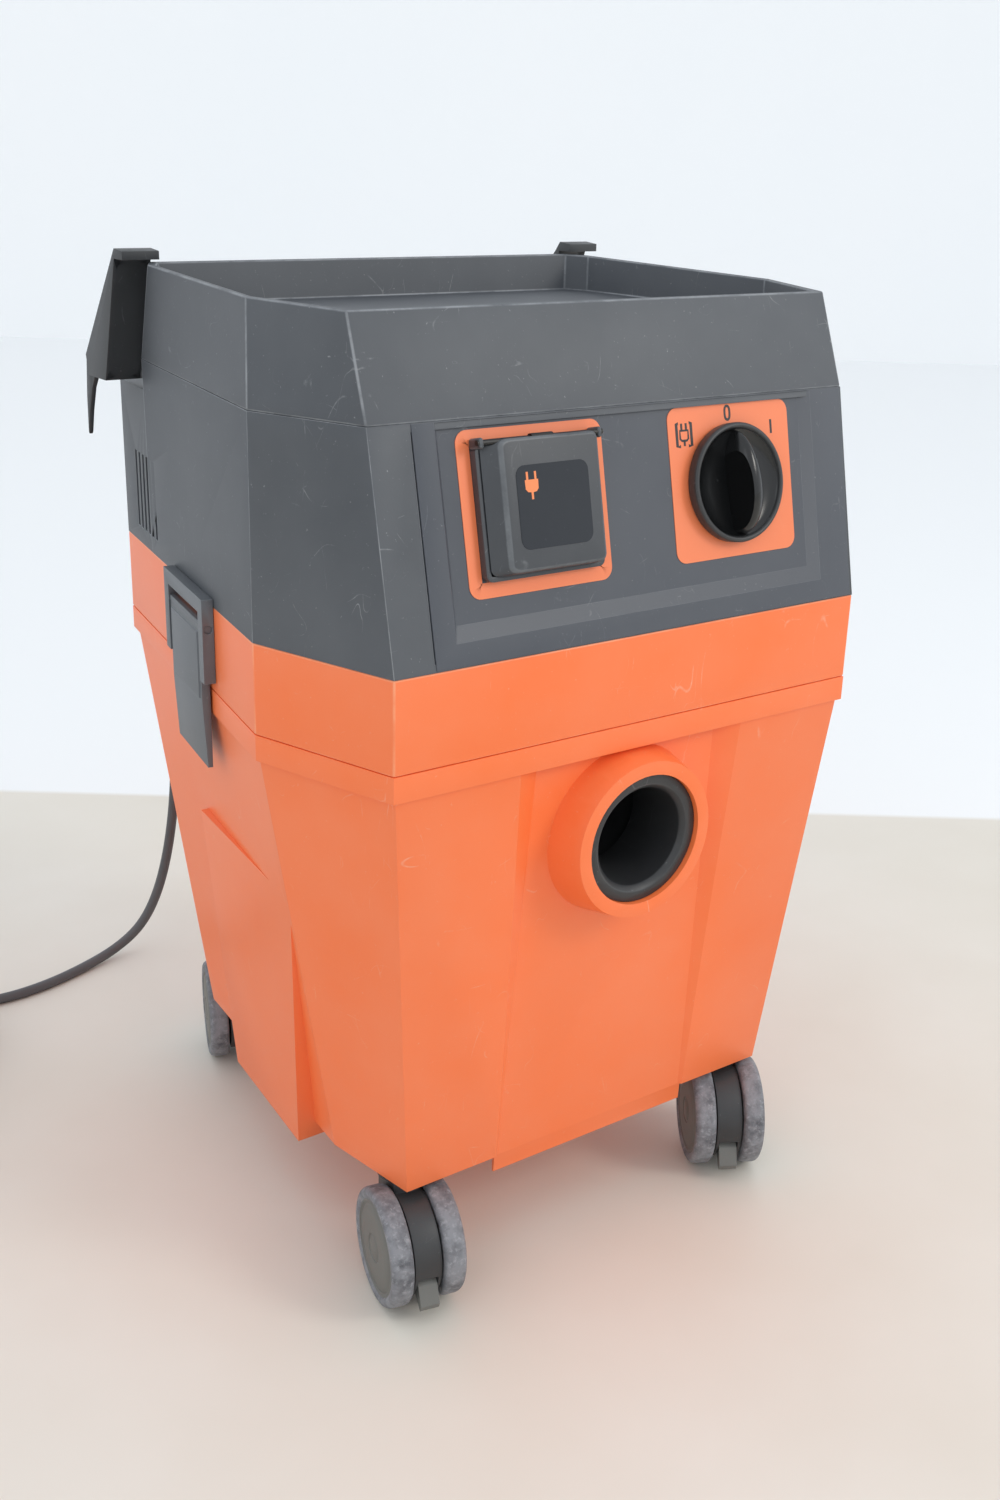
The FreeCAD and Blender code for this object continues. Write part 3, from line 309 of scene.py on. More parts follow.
# Where the lead leaves the coil's top layer for the plug: distance from the coil's middle, angle, height.
COIL_END = [(62, 175, 28), (65.5, 190, 26), (68.5, 204, 21), (69, 217, 18.4), (68.5, 230.3, 18.1)]


def coil_points():
    """Four flat layers of turns, wound inwards and outwards in turn, then the run to the plug's tail."""
    steps, full, last, layers = 16, 56, 51, 4
    # The curve passes inside its points, so they stand a little further out than it.
    spread = 1 / math.cos(math.pi / steps)
    low, high, level = 32, 60, 4.1
    points = []
    angle = math.radians(66)
    for layer in range(layers):
        top = layer == layers - 1
        near, far = (high, low) if layer % 2 == 0 else (low, high)
        for k in range(last if top else full):
            radius = near + (far - near) * k / full
            points.append((radius * spread, angle, level + CORD_DIAMETER * layer))
            angle += math.tau / steps
        for rise in () if top else (0.15, 0.5, 0.85):
            points.append((far * spread, angle, level + CORD_DIAMETER * (layer + rise)))
            angle += math.tau / steps
    return points + [(radius, math.radians(turn), height) for radius, turn, height in COIL_END]


def make_lead(material):
    """The whole lead as one round curve through its route and its coil."""
    points = [Vector(p) for p in CORD_ROUTE]
    middle = Vector((*COIL_MIDDLE, 0))
    for radius, angle, level in coil_points():
        points.append(middle + Vector((radius * math.cos(angle), radius * math.sin(angle), level)))
    curve = bpy.data.curves.new("mains_lead", "CURVE")
    curve.dimensions = "3D"
    spline = curve.splines.new("NURBS")
    spline.points.add(len(points) - 1)
    for point, place in zip(spline.points, points):
        point.co = (*(place * MM), 1)
    spline.order_u = 3
    spline.use_endpoint_u = True
    curve.resolution_u = 6
    curve.bevel_depth = CORD_DIAMETER / 2 * MM
    curve.bevel_resolution = 5
    curve.use_fill_caps = True
    curve.materials.append(material)
    lead = bpy.data.objects.new("mains_lead", curve)
    bpy.context.scene.collection.objects.link(lead)
    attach(lead, "tub")
    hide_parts("cord_tube", "cord_coil")
    return lead


# ---------------------------------------------------------------- places on the sloping panel

def joint(name):
    """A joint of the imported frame, by its name."""
    return next(j for j in frame["joints"] if j["name"] == name)


def on_panel(x, up, out):
    """A matrix for a place on the sloping panel: local X across, Y up the slope, Z outwards."""
    knob = joint("knob_turn")
    normal = Vector(knob["axis"])
    across = Vector((1, 0, 0))
    rise = normal.cross(across)
    middle = Vector(knob["pos_m"])
    at = Vector((0, middle.y, middle.z)) + across * x + rise * up + normal * out
    return Matrix.Translation(at) @ Matrix((across, rise, normal)).transposed().to_4x4()


def put(mesh, matrix):
    """Move a working mesh to its place."""
    bmesh.ops.transform(mesh, matrix=matrix, verts=mesh.verts)


def rounded_face(width, height, corner, segments):
    """A flat face with round corners, on Z 0."""
    mesh = bmesh.new()
    ends = ((-1, -1), (1, -1), (1, 1), (-1, 1))
    mesh.faces.new([mesh.verts.new((x * width / 2, y * height / 2, 0)) for x, y in ends])
    bmesh.ops.bevel(mesh, geom=mesh.verts[:], offset=corner, offset_type="OFFSET", segments=segments,
                    profile=0.5, affect="VERTICES", material=-1)
    return mesh


def rounded_plate(width, height, corner, thickness, segments):
    """A flat plate with round corners, its back on Z 0."""
    mesh = rounded_face(width, height, corner, segments)
    raise_faces(mesh, mesh.faces[:], thickness)
    return mesh


def raise_faces(mesh, faces, height):
    """Extrude a patch of flat faces along +Z; the old ones close the back."""
    grown = bmesh.ops.extrude_face_region(mesh, geom=faces, use_keep_orig=True)["geom"]
    bmesh.ops.translate(mesh, vec=(0, 0, height), verts=points_of(grown))
    return faces_of(grown)


def spun(profile, steps):
    """A closed shape turned about Z from a half outline of (radius, height) points in millimetres."""
    mesh = bmesh.new()
    chain = [mesh.verts.new((r * MM, 0, z * MM)) for r, z in profile]
    edges = [mesh.edges.new(pair) for pair in zip(chain, chain[1:])]
    bmesh.ops.spin(mesh, geom=chain + edges, cent=(0, 0, 0), axis=(0, 0, 1), angle=math.tau, steps=steps,
                   use_merge=True, use_duplicate=False)
    bmesh.ops.remove_doubles(mesh, verts=mesh.verts, dist=0.000002)
    return mesh


def block(low, high):
    """A block between two corners given in millimetres."""
    mesh = bmesh.new()
    size = [(b - a) * MM for a, b in zip(low, high)]
    middle = [(a + b) / 2 * MM for a, b in zip(low, high)]
    bmesh.ops.create_cube(mesh, size=1, matrix=Matrix.Translation(middle) @ Matrix.Diagonal((*size, 1)))
    return mesh


def join(target, *others):
    """Add other working meshes to one, and free them."""
    for other in others:
        keep = bpy.data.meshes.new("joined")
        other.to_mesh(keep)
        other.free()
        target.from_mesh(keep)
        bpy.data.meshes.remove(keep)
    return target


# ---------------------------------------------------------------- control panel

# The insert's face stands out of the panel's plane, its back lies behind it, and its field is sunk in it.
INSERT_LIFT = 0.0005
INSERT_BACK = -0.0035
FIELD_DEPTH = 0.0022
# The socket's, the knob's and the lid film's places across the panel, and the knob label's place on it.
SOCKET_X = -0.0665
KNOB_X = 0.0735
FILM_X = -0.0635
KNOB_LABEL = (0.0745, 0.0015)
# Both labels' height, corners and thickness, and how far they and the marks lie over the field.
LABEL_HEIGHT = 0.087
LABEL_CORNER = 0.007
LABEL_THICKNESS = 0.0005
LABEL_LIFT = 0.0004
MARK_LIFT = 0.00086
PRINT_THICKNESS = 0.00012
# The insert's outline on the panel, the top of its sloping borders and their foot: left, low, right, high.
INSERT = (-0.1398, -0.0762, 0.1632, 0.0486)
FIELD_TOP = (-0.1265, -0.0640, 0.1385, 0.0484)
FIELD_FOOT = (-0.1240, -0.0550, 0.1300, 0.0482)


def move_corners(face, area, height):
    """Put the four corners of a face on the corners of an area, at a height."""
    left, low, right, high = area
    middle = face.calc_center_median()
    for vertex in face.verts:
        x = left if vertex.co.x < middle.x else right
        y = low if vertex.co.y < middle.y else high
        vertex.co = (x, y, height)


def make_control_panel(finishes):
    """The insert: a closed plate with a shallow sunken field whose side and lower borders slope.

    It has no opening, so it also covers the well of the socket.
    """
    mesh = bmesh.new()
    bmesh.ops.create_cube(mesh, size=0.1)
    back = min(mesh.faces, key=lambda f: f.calc_center_median().z)
    top = max(mesh.faces, key=lambda f: f.calc_center_median().z)
    move_corners(back, INSERT, 0.0)
    move_corners(top, INSERT, INSERT_LIFT)
    for area, height in ((FIELD_TOP, INSERT_LIFT), (FIELD_FOOT, INSERT_LIFT - FIELD_DEPTH)):
        bmesh.ops.inset_region(mesh, faces=[top], thickness=0.001, depth=0)
        move_corners(top, area, height)
    bmesh.ops.translate(mesh, vec=(0, 0, INSERT_BACK), verts=back.verts)
    crease = [e for e in mesh.edges if len(e.link_faces) == 2 and 3 < math.degrees(e.calc_face_angle(0))
              and e.calc_length() > 0.02 and max(v.co.z for v in e.verts) > -0.003]
    soften(mesh, crease, 0.0006, 3)
    put(mesh, on_panel(0, 0, 0))
    return finish_mesh(mesh, "control_panel_insert", "head", finishes["panel_plastic"],
                       ["control_panel"], smooth=25)


def make_stickers(finishes):
    """Two printed films: a frame round the socket and a square under the knob."""
    around = rounded_face(0.0946, LABEL_HEIGHT, LABEL_CORNER, 7)
    middle = around.faces[:]
    bmesh.ops.inset_region(around, faces=middle, thickness=0.0082, depth=0, use_boundary=True)
    bmesh.ops.delete(around, geom=middle, context="FACES")
    raise_faces(around, around.faces[:], LABEL_THICKNESS)
    put(around, on_panel(SOCKET_X, 0, LABEL_LIFT - FIELD_DEPTH))
    under = rounded_plate(0.0925, LABEL_HEIGHT, LABEL_CORNER, LABEL_THICKNESS, 7)
    put(under, on_panel(*KNOB_LABEL, LABEL_LIFT - FIELD_DEPTH))
    return finish_mesh(join(around, under), "printed_films", "head", finishes["label_film"],
                       ["panel_labels"], smooth=25)


def stroke(points, width, closed=False):
    """A thin flat line of printing along points in millimetres, 0.1 mm high."""
    mesh = bmesh.new()
    count = len(points)
    left, right = [], []
    for k, (x, y) in enumerate(points):
        before = points[k - 1] if k or closed else points[k]
        after = points[(k + 1) % count] if k < count - 1 or closed else points[k]
        along = Vector((after[0] - before[0], after[1] - before[1])).normalized()
        side = Vector((-along.y, along.x)) * width / 2
        left.append(mesh.verts.new(((x + side.x) * MM, (y + side.y) * MM, 0)))
        right.append(mesh.verts.new(((x - side.x) * MM, (y - side.y) * MM, 0)))
    for k in range(count if closed else count - 1):
        n = (k + 1) % count
        mesh.faces.new((left[k], right[k], right[n], left[n]))
    raise_faces(mesh, mesh.faces[:], PRINT_THICKNESS)
    return mesh


def patch(points):
    """A flat printed shape from its outline in millimetres, 0.1 mm high."""
    mesh = bmesh.new()
    mesh.faces.new([mesh.verts.new((x * MM, y * MM, 0)) for x, y in points])
    raise_faces(mesh, mesh.faces[:], PRINT_THICKNESS)
    return mesh


def oval(width, height, steps=28, power=2.6):
    """Points round an oval with slightly flattened sides."""
    points = []
    for k in range(steps):
        c, s = math.cos(math.tau * k / steps), math.sin(math.tau * k / steps)
        points.append((math.copysign(abs(c) ** (2 / power), c) * width / 2,
                       math.copysign(abs(s) ** (2 / power), s) * height / 2))
    return points


def plug_outline(scale):
    """A plain plug seen from the side: two pins, a rounded body and a lead."""
    half = [(0.8, -9), (0.8, -4.6), (3.4, -4.2), (5.0, -2.4), (5.2, 3.4), (4.0, 3.4), (4.0, 8.4), (2.4, 8.4),
            (2.4, 3.4)]
    both = half + [(-x, y) for x, y in reversed(half)]
    return [(x * scale, y * scale) for x, y in both]


def make_marks(finishes):
    """Generic marks: off, on, and a plug for the position that follows the socket."""
    zero = stroke(oval(3.8, 7.6), 1.5, closed=True)
    put(zero, Matrix.Translation((-0.001, 0.0383, 0)))
    one = stroke([(0, -4.0), (0, 4.0)], 1.6)
    put(one, Matrix.Translation((0.0325, 0.0283, 0)))
    frame_left = stroke([(-3.0, -6.4), (-5.4, -6.4), (-5.4, 6.2), (-4.0, 6.2)], 1.9)
    frame_right = stroke([(4.0, 6.2), (5.4, 6.2), (5.4, -6.4), (3.0, -6.4)], 1.9)
    outline = [(-3.0, 2.2), (3.0, 2.2), (3.0, -2.4), (1.8, -3.4), (-1.8, -3.4), (-3.0, -2.4)]
    body = stroke(outline, 1.3, closed=True)
    pins = [stroke([(x, 2.4), (x, 6.2)], 1.5) for x in (-1.7, 1.7)]
    tail = stroke([(0, -3.4), (0, -6.4)], 1.5)
    follow = join(frame_left, frame_right, body, tail, *pins)
    put(follow, Matrix.Translation((-0.0345, 0.0285, 0)))
    marks = join(zero, one, follow)
    put(marks, on_panel(*KNOB_LABEL, MARK_LIFT - FIELD_DEPTH))
    return finish_mesh(marks, "switch_marks", "head", finishes["marks"], smooth=25)


# The face of the closed lid over the panel's plane.
LID_TOP = 0.0114


def make_flap(finishes):
    """The sprung lid: a shallow box with soft edges and a sloping left side, its gloss film and its mark."""
    lid = block((-36.5, -33, 4.3), (36.5, 37.9, LID_TOP / MM))
    crown = max(lid.faces, key=lambda f: f.calc_center_median().z)
    for vertex in crown.verts:
        vertex.co.x += -0.0014 if vertex.co.x > 0 else 0.0085
        vertex.co.y += -0.0008 if vertex.co.y > 0 else 0.0012
    soften(lid, [e for e in lid.edges if abs(e.verts[0].co.z - e.verts[1].co.z) > 0.005], 0.0042, 6)
    soften(lid, [e for e in lid.edges if min(v.co.z for v in e.verts) > LID_TOP - 0.0001], 0.0018, 5)
    bottom = min(lid.faces, key=lambda f: f.calc_center_median().z)
    bmesh.ops.inset_region(lid, faces=[bottom], thickness=0.0105, depth=0)
    bmesh.ops.translate(lid, vec=(0, 0, 0.0048), verts=bottom.verts)
    # A thin sleeve for the hinge pin, inside the lid.
    sleeve = spun([(0.4, -36.9), (1.4, -36.9), (1.4, 36.9), (0.4, 36.9), (0.4, -36.9)], 24)
    put(sleeve, Matrix.Translation((0, 0.03626, 0.008)) @ Matrix.Rotation(math.pi / 2, 4, "Y"))
    mesh = join(lid, sleeve)
    put(mesh, on_panel(SOCKET_X, 0, 0))
    finish_mesh(mesh, "socket_lid", "socket_flap", finishes["flap_plastic"], ["socket_flap"],
                smooth=32)
    film = rounded_plate(0.047, 0.0435, 0.0055, 0.0003, 7)
    put(film, on_panel(FILM_X, 0.0012, LID_TOP - 0.0001))
    finish_mesh(film, "lid_film", "socket_flap", finishes["gloss_film"], smooth=25)
    mark = patch(plug_outline(0.82))
    put(mark, on_panel(FILM_X - 0.0140, 0.0125, LID_TOP + 0.00018))
    finish_mesh(mark, "lid_mark", "socket_flap", finishes["orange_ink"], smooth=25)


def sink(mesh, faces, depth):
    """Push a patch of faces down along Z, with walls round it, and return the patch."""
    pushed = bmesh.ops.extrude_face_region(mesh, geom=faces)["geom"]
    bmesh.ops.delete(mesh, geom=[f for f in faces if f.is_valid], context="FACES_KEEP_BOUNDARY")
    bmesh.ops.translate(mesh, vec=(0, 0, -depth), verts=points_of(pushed))
    return faces_of(pushed)


def make_socket_frame(finishes):
    """The dark rim round the lid and, behind the insert, the well with its contact block, and two flat dark discs
    on the block that are painted shade standing in for its two pin holes.
    """
    rim = rounded_face(0.078, 0.0705, 0.004, 5)
    put(rim, Matrix.Translation((0, 0, -FIELD_DEPTH - 0.001)))
    front = raise_faces(rim, rim.faces[:], 0.0068)
    bmesh.ops.inset_region(rim, faces=front, thickness=0.0028, depth=0)
    floor = sink(rim, front, 0.0055)
    bmesh.ops.inset_region(rim, faces=floor, thickness=0.0045, depth=0)
    sink(rim, floor, 0.026)
    soften(rim, sharp_edges(rim, 50), 0.0005, 2)
    contact = spun([(0, -13), (1.9, -13), (2.4, -12.4), (20, -12.4), (21, -13.4), (21, -30), (0, -30)], 48)
    # Two flat black discs on the contact block: painted shade where the pin holes would be, not real openings.
    hole_shade_discs = [spun([(0, -12.1), (2.5, -12.1), (2.7, -12.35), (0, -12.35)], 20) for _ in range(2)]
    for shade_disc, x in zip(hole_shade_discs, (-0.0095, 0.0095)):
        put(shade_disc, Matrix.Translation((x, 0, 0)))
    ears = []
    for x in (-1, 1):
        ear = block((36.9, 33.2, -1), (39.6, 38.9, 9.9))
        put(ear, Matrix.Diagonal((x, 1, 1, 1)))
        soften(ear, sharp_edges(ear, 60), 0.0014, 3)
        ears.append(ear)
    mesh = join(rim, contact, *ears)
    put(mesh, on_panel(SOCKET_X, 0, 0))
    finish_mesh(mesh, "socket_frame", "head", finishes["flap_plastic"], ["socket_insert"],
                smooth=32)
    # The black discs paint the shade of the pin holes.
    dark = join(*hole_shade_discs)
    put(dark, on_panel(SOCKET_X, 0, 0))
    finish_mesh(dark, "socket_hole_painted_shade", "head", finishes["rubber"], smooth=32)


def make_knob(finishes):
    """Rotary knob: a matt rim round a glossy dish, crossed by a half-round grip that narrows to its end."""
    turn = on_panel(KNOB_X, 0, 0.0)
    rim = spun([(30.0, -0.6), (33.6, -0.6), (34.0, 0.2), (34.1, 5.0), (33.7, 6.0), (32.8, 6.6), (31.9, 6.6),
                (31.2, 6.1), (30.9, 5.2), (30.6, 4.4), (30.0, 4.0), (30.0, -0.6)], 96)
    put(rim, turn)
    finish_mesh(rim, "knob_rim", "knob", finishes["black_plastic"], smooth=40)
    dish = spun([(0, -0.5), (30.3, -0.5), (30.5, 4.6), (29.6, 3.6), (28.0, 2.7), (25.0, 1.9), (20.0, 1.4),
                 (0, 1.2)], 96)
    grip = bmesh.new()
    bmesh.ops.create_uvsphere(grip, u_segments=56, v_segments=36, radius=1)
    for vertex in grip.verts:
        x, y, z = vertex.co
        ahead = max(0, (y + 1) / 2)
        width = 12.5 - 6.5 * ahead ** 1.6
        centre = 1.6 * (1 - ahead)
        height = 1.0 + math.copysign(abs(z) ** 0.8, z) * 18.5
        vertex.co = ((centre + x * width) * MM, y * 29.8 * MM, height * MM)
    cut = grip.verts[:] + grip.edges[:] + grip.faces[:]
    bmesh.ops.bisect_plane(grip, geom=cut, plane_co=(0, 0, 0.0012), plane_no=(0, 0, -1), clear_outer=True)
    cut = grip.verts[:] + grip.edges[:] + grip.faces[:]
    bmesh.ops.bisect_plane(grip, geom=cut, plane_co=(-0.0040, 0, 0.010), plane_no=(-1, -0.06, 0.22),
                           clear_outer=True)
    bmesh.ops.holes_fill(grip, edges=[e for e in grip.edges if e.is_boundary], sides=0)
    soften(grip, sharp_edges(grip, 35), 0.0008, 3)
    mesh = join(dish, grip)
    put(mesh, turn)
    finish_mesh(mesh, "knob_grip", "knob", finishes["knob_plastic"], ["knob"], smooth=40)


# ---------------------------------------------------------------- casters

def make_casters(finishes):
    """Worn grey treads with round shoulders on dark discs, each disc with a turned groove and a hub cap."""
    tread = [(29.6, -6.9), (34.2, -6.9), (35.4, -6.4), (36.2, -5.2), (36.5, -3.4), (36.5, 3.0), (36.1, 4.8),
             (35.2, 6.1), (33.8, 6.9), (32.0, 7.0), (31.2, 6.6), (30.2, 6.2), (29.6, 6.0), (29.6, -6.9)]
    disc = [(4.2, -6.8), (30.2, -6.8), (30.2, 5.7), (29.4, 6.2), (28.4, 6.3), (27.6, 5.5), (26.8, 5.3),
            (26.0, 5.6), (25.2, 6.3), (18.0, 6.9), (9.4, 7.1), (8.6, 6.4), (7.8, 6.5), (7.0, 7.1), (0, 7.3),
            (0, -6.8)]
    for entry in frame["joints"]:
        if not entry["name"].startswith("spin_"):
            continue
        spot = entry["name"][5:]
        outward = Vector(entry["axis"]) * (-1 if spot.endswith("_left") else 1)
        facing = outward.to_track_quat("Z", "Y").to_matrix().to_4x4()
        place = Matrix.Translation(Vector(entry["pos_m"])) @ facing
        tyre = spun(tread, 72)
        put(tyre, place)
        finish_mesh(tyre, "tyre_" + spot, entry["child"], finishes["tread_rubber"],
                    ["tread_" + spot], 40)
        hub = spun(disc, 64)
        put(hub, place)
        finish_mesh(hub, "disc_" + spot, entry["child"], finishes["wheel_plastic"],
                    ["wheel_" + spot], 40)
    for corner in ("front_left", "front_right", "rear_left", "rear_right"):
        make_fork(finishes, corner)


def make_fork(finishes, corner):
    """The housing between the two wheels, as packed, with its edges rounded."""
    mesh = taken("caster_fork_" + corner)
    soften(mesh, sharp_edges(mesh, 35), 0.0011, 3)
    finish_mesh(mesh, "caster_housing_" + corner, "caster_" + corner, finishes["black_plastic"],
                ["caster_fork_" + corner], 35)


# ---------------------------------------------------------------- materials

def make_materials():
    """Every finish on the machine, by the name of its slot in the record."""
    return {
        # Orange polypropylene: bright and a little waxy, whitened where things have rubbed it; its rounded edges
        # are also painted paler as a highlight.
        "tub_plastic": moulded("moulded_orange_polypropylene", "F97436", "FFA77C", "F4CDB4", 0.38, haze=0.10,
                               specks=0.25, scratch=0.6, wear_and_highlight=0.75),
        # Anthracite ABS: matt and dark, with grey building dust in its grain.
        "head_plastic": moulded("moulded_anthracite_abs", "43474D", "94979B", "A9ABAD", 0.5, haze=0.08,
                                specks=0.5, scratch=0.7, wear_and_highlight=0.8),
        # The insert is the same plastic with a finer grain, so it shines a little more.
        "panel_plastic": moulded("fine_grained_anthracite_abs", "454951", "85888D", "9C9EA2", 0.44, haze=0.05,
                                 specks=0.4, scratch=0.6, grain=0.5),
        # Black nylon: deeper than the shells, with grey dust sitting on it.
        "black_plastic": moulded("moulded_black_nylon", "212224", "4E5052", "8A8B8C", 0.42, haze=0.14,
                                 specks=0.35, scratch=0.4),
        # The hooks: near black, a little duller than the nylon.
        "hook_plastic": moulded("moulded_black_abs", "2C2E31", "66696C", "85878A", 0.46, haze=0.12,
                                specks=0.3),
        # Glass-filled nylon of the latches: greyer and drier than the shells.
        "latch_plastic": moulded("glass_filled_grey_nylon", "54585E", "9EA2A6", "A9ABAC", 0.45, haze=0.1,
                                 specks=0.4, wear_and_highlight=0.8),
        # The lid and the socket's rim: a satin dark grey between the panel and the knob.
        "flap_plastic": moulded("moulded_dark_grey_abs", "383B40", "73777B", "8B8E90", 0.4, haze=0.08,
                                specks=0.4),
        # Polished black ABS: nearly a mirror, so it shows the lights as crisp streaks.
        "knob_plastic": moulded("polished_black_abs", "0B0C0D", "36383A", "6A6B6E", 0.2, haze=0.03,
                                specks=0.3, scratch=0.3, grain=0.1),
        # Screen-printed polycarbonate film, flat and even, with a satin surface.
        "label_film": moulded("printed_orange_film", "F28152", "F7A884", "F0B795", 0.33, haze=0.04,
                              specks=0.2, scratch=0.2, grain=0.3),
        # Film over a black print: it mirrors the lights, with light wiping marks.
        "gloss_film": moulded("clear_coated_film", "1C2027", "3A3E44", "5A5E64", 0.1, haze=0.06, specks=0.2,
                              scratch=0.15, grain=0.1),
        # Printing inks lie flat and even, with no grain of their own.
        "orange_ink": moulded("orange_printing_ink", "F58A50", "F08E5E", "F0B795", 0.35, grain=0.1,
                              scratch=0.1),
        "marks": moulded("black_printing_ink", "2A2628", "3A3A3D", "555555", 0.4, specks=0.1, scratch=0.05,
                         grain=0.1),
        # Caster discs, scuffed grey by gritty floors.
        "wheel_plastic": moulded("moulded_grey_polyamide", "63635F", "8E8E8B", "9A9994", 0.45, haze=0.15,
                                 specks=0.3, scratch=0.6),
        # Grey tyre rubber: dull, streaked dark by the floor and pale where dust has dried.
        "tread_rubber": worn_rubber("grey_rubber_tread", "85868B", "55565B", "A7A7AB", 0.68),
        # Matt moulded rubber of seals, gland and plug.
        "rubber": moulded("black_moulded_rubber", "262628", "48494B", "6A6A6A", 0.7, haze=0.1, specks=0.2,
                          scratch=0.0),
        # The sheath is smoother than the plug, and grey with handling.
        "cord_rubber": moulded("rubber_cable_sheath", "4E4E51", "6E6E71", "8C8B88", 0.5, haze=0.15,
                               specks=0.2, scratch=0.1),
        # Zinc-plated steel is bright and slightly uneven, blackened steel dark and dull, cast metal matt.
        "steel": metal("zinc_plated_steel", "C4C2BC", 0.32),
        "blackened": metal("blackened_steel", "3A3A3C", 0.5),
        "motor_metal": metal("cast_aluminium", "A9A9A6", 0.45),
        # Filter paper: dry, cream-coloured and grey with dust.
        "filter_paper": moulded("pleated_filter_paper", "D9D3C2", "E6E1D4", "A49E90", 0.9, haze=0.4,
                                scratch=0.0),
    }


# ---------------------------------------------------------------- pieces

ROUNDED = {
    # node: (body, slot, rounding in metres, segments, least angle)
    "container": ("tub", "tub_plastic", 0.0025, 3, 12),
    "suction_inlet": ("tub", "black_plastic", 0.0008, 2, 30),
    "inlet_deflector": ("tub", "black_plastic", 0.0006, 2, 30),
    "base_ring": ("head", "tub_plastic", 0.0012, 3, 20),
    "motor_housing": ("head", "head_plastic", 0.0014, 3, 14),
    "top_cover": ("head", "head_plastic", 0.0016, 3, 14),
    "latch_bracket_left": ("head", "latch_plastic", 0.0010, 3, 20),
    "latch_bracket_right": ("head", "latch_plastic", 0.0010, 3, 20),
    "latch_lever_left": ("latch_left", "latch_plastic", 0.0012, 3, 20),
    "latch_lever_right": ("latch_right", "latch_plastic", 0.0012, 3, 20),
    "cord_gland": ("head", "rubber", 0.0008, 2, 20),
    "cord_plug": ("tub", "rubber", 0.0015, 3, 30),
}


def raise_panel(mesh, border, height):
    """A raised field on the largest face of a piece."""
    face = max(mesh.faces, key=lambda f: f.calc_area() * (f.calc_center_median().x * f.normal.x > 0))
    bmesh.ops.inset_region(mesh, faces=[face], thickness=border, depth=0)
    bmesh.ops.inset_region(mesh, faces=[face], thickness=0.0008, depth=height)


def make_rounded(finishes):
    """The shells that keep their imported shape, with their edges rounded, by the name of their node."""
    made = {}
    for node, (body, slot, width, segments, low) in ROUNDED.items():
        mesh = taken(node)
        if node.startswith("latch_lever"):
            raise_panel(mesh, 0.005, 0.0009)
        soften(mesh, sharp_edges(mesh, low), width, segments)
        made[node] = finish_mesh(mesh, node + "_shell", body, finishes[slot], [node], smooth=40)
    return made


# The side view of a hook in millimetres, as (place from front to back, height): its arm and its fin.
HOOK_BODY = [(100, 592), (100, 597), (112, 598), (167.5, 529.5), (164, 517), (136.5, 517), (112.5, 592)]
HOOK_FIN = [(150, 521), (160, 534), (167.7, 529), (171, 503), (172, 478), (167.5, 494), (161.5, 509),
            (154, 519)]
# The face that is recessed is the foremost of the arm's faces over this area, in square metres.
HOOK_LARGE_FACE = 0.0012


def slab(outline, start, end):
    """A flat piece from an outline in the side view, between two places across, in millimetres."""
    mesh = bmesh.new()
    face = mesh.faces.new([mesh.verts.new((start * MM, y * MM, z * MM)) for y, z in outline])
    grown = bmesh.ops.extrude_face_region(mesh, geom=[face], use_keep_orig=True)["geom"]
    bmesh.ops.translate(mesh, vec=((end - start) * MM, 0, 0), verts=points_of(grown))
    bmesh.ops.recalc_face_normals(mesh, faces=mesh.faces)
    return mesh


def make_hooks(finishes):
    """Cable hooks at the rear corners: an arm with a recessed face, and a fin that tapers to a point."""
    for side, name in ((-1, "hook_left"), (1, "hook_right")):
        arm = slab(HOOK_BODY, 155.7, 179.5)
        front = min((f for f in arm.faces if f.calc_area() > HOOK_LARGE_FACE), key=lambda f: f.normal.y)
        into = front.normal * -0.009
        bmesh.ops.inset_region(arm, faces=[front], thickness=0.0036, depth=0)
        hollow = bmesh.ops.extrude_face_region(arm, geom=[front])["geom"]
        deep = points_of(hollow)
        bmesh.ops.translate(arm, vec=into, verts=deep)
        corners = [e for v in deep for e in v.link_edges if e.other_vert(v) not in deep]
        soften(arm, corners, 0.0045, 5)
        soften(arm, sharp_edges(arm, 30), 0.0009, 3)
        fin = slab(HOOK_FIN, 175.8, 179.2)
        soften(fin, sharp_edges(fin, 30), 0.0006, 2)
        foot = block((117.5, 134.5, 517), (156.5, 142.5, 551))
        soften(foot, foot.edges[:], 0.0012, 3)
        mesh = join(arm, fin, foot)
        put(mesh, Matrix.Diagonal((side, 1, 1, 1)))
        finish_mesh(mesh, name + "_arm", "head", finishes["hook_plastic"], [name], smooth=35)


def dress_nodes(finishes):
    """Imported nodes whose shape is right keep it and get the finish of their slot."""
    slots = {entry["node"]: entry["material_slot"] for entry in frame["record"]["subparts"]}
    for name, item in frame["nodes"].items():
        if not item.hide_render:
            item.data.materials.clear()
            item.data.materials.append(finishes["blackened" if name.startswith("flap") else slots[name]])


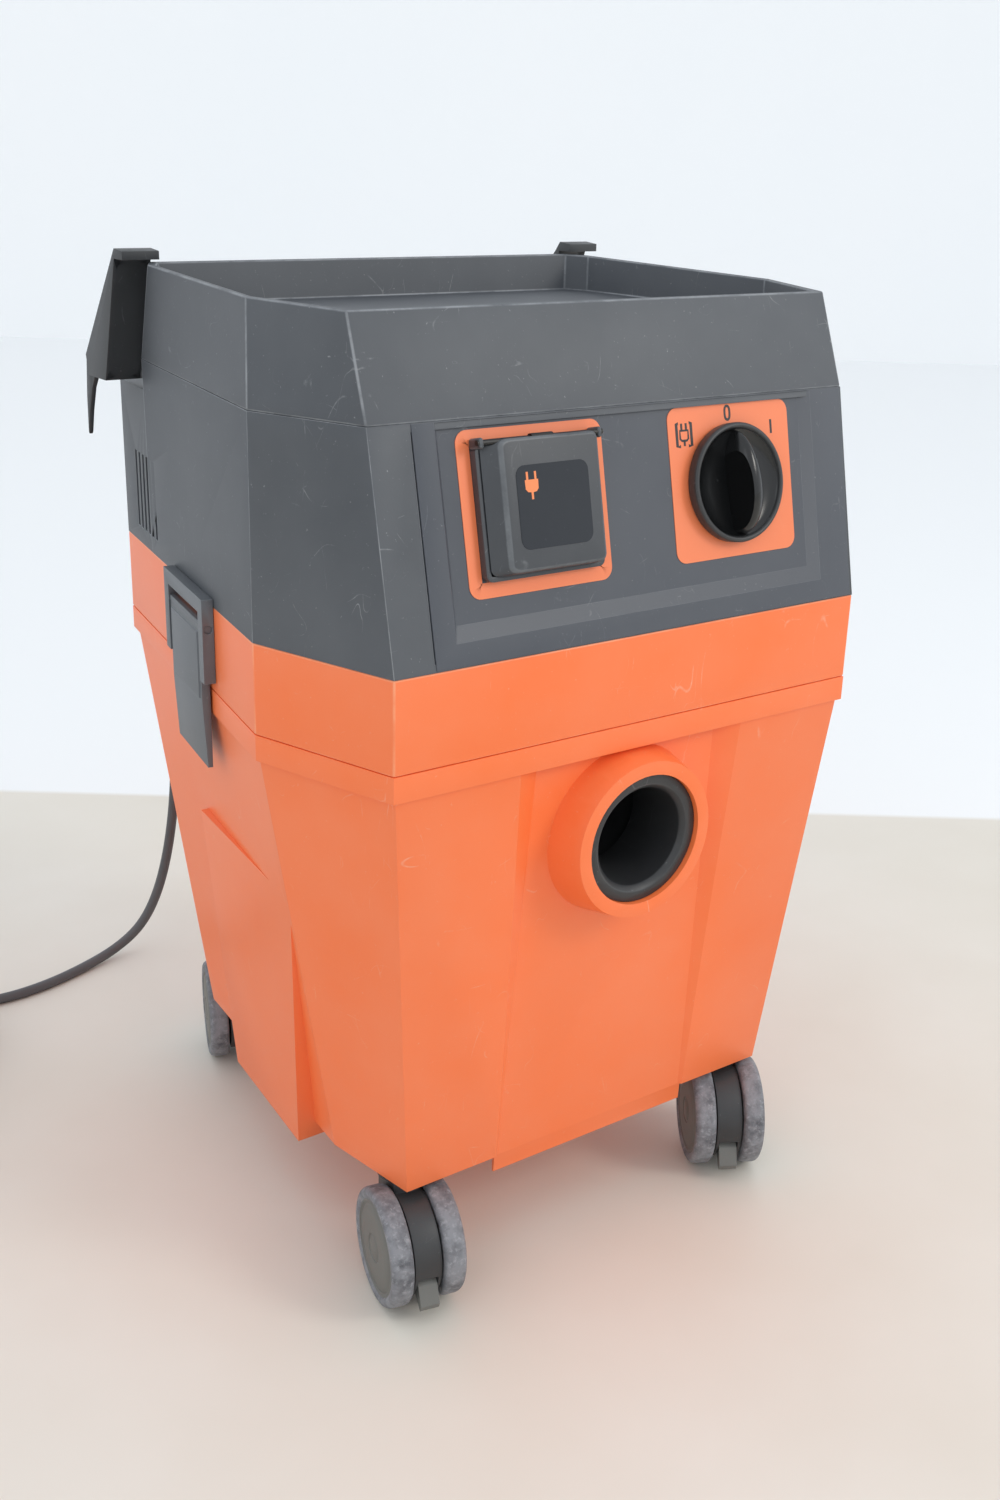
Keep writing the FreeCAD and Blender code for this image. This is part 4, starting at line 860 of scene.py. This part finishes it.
def make_stage():
    """A pale screed floor with a paler zone behind, and a plain wall a good way off."""
    ground, tree, shader, place = start_material("sealed_screed")
    cloud = add(tree, "TexNoise", {"Vector": place}, {"Scale": 2.2, "Detail": 5.0, "Roughness": 0.55})
    near = mix(tree, ramp(tree, cloud.outputs["Fac"], 0.35, 0.7), "E6E1D8", "DDD6CA")
    behind = add(tree, "VectorMath", {0: place}, {1: (*BACKWARDS, 0)}, operation="DOT_PRODUCT")
    beyond = ramp(tree, behind.outputs["Value"], ZONE_EDGE - 0.004, ZONE_EDGE + 0.006)
    tone = mix(tree, beyond, near, "F4F5F6")
    tree.links.new(tone, shader.inputs["Base Color"])
    shader.inputs["Roughness"].default_value = 0.5
    floor = bmesh.new()
    bmesh.ops.create_grid(floor, x_segments=1, y_segments=1, size=STAGE_HALF)
    finish_mesh(floor, "floor", None, ground)
    plaster, tree, shader, place = start_material("painted_plaster")
    cloud = add(tree, "TexNoise", {"Vector": place}, {"Scale": 1.2, "Detail": 5.0, "Roughness": 0.55})
    tree.links.new(mix(tree, cloud.outputs["Fac"], "FBFBFB", "F7F9FA"), shader.inputs["Base Color"])
    shader.inputs["Roughness"].default_value = 0.8
    wall = bmesh.new()
    bmesh.ops.create_grid(wall, x_segments=1, y_segments=1, size=STAGE_HALF)
    back = Vector((*BACKWARDS, 0))
    turn = Matrix((Vector((back.y, -back.x, 0)), Vector((0, 0, 1)), -back)).transposed().to_4x4()
    put(wall, Matrix.Translation(back * WALL_DISTANCE + Vector((0, 0, WALL_MIDDLE))) @ turn)
    finish_mesh(wall, "wall", None, plaster)


def make_lights():
    """An even pale sky, a key light at the front right and a weak fill at the front left."""
    world = bpy.data.worlds.new("studio")
    bpy.context.scene.world = world
    world.use_nodes = True
    background = world.node_tree.nodes["Background"]
    background.inputs["Color"].default_value = linear("EEF3F8")
    background.inputs["Strength"].default_value = 1.1
    make_light("key", place=(1.3, -2.0, 1.7), size=0.9, power=16, colour="FFFBF4")
    make_light("fill", place=(-2.2, -1.4, 1.8), size=1.6, power=4, colour="F4F8FF")
    bpy.context.scene.view_settings.view_transform = "Standard"


finishes = make_materials()
make_camera()
lead = make_lead(finishes["cord_rubber"])
shells = make_rounded(finishes)
make_control_panel(finishes)
make_stickers(finishes)
make_marks(finishes)
make_flap(finishes)
make_socket_frame(finishes)
make_knob(finishes)
make_casters(finishes)
make_hooks(finishes)
dress_nodes(finishes)
make_stage()
make_lights()
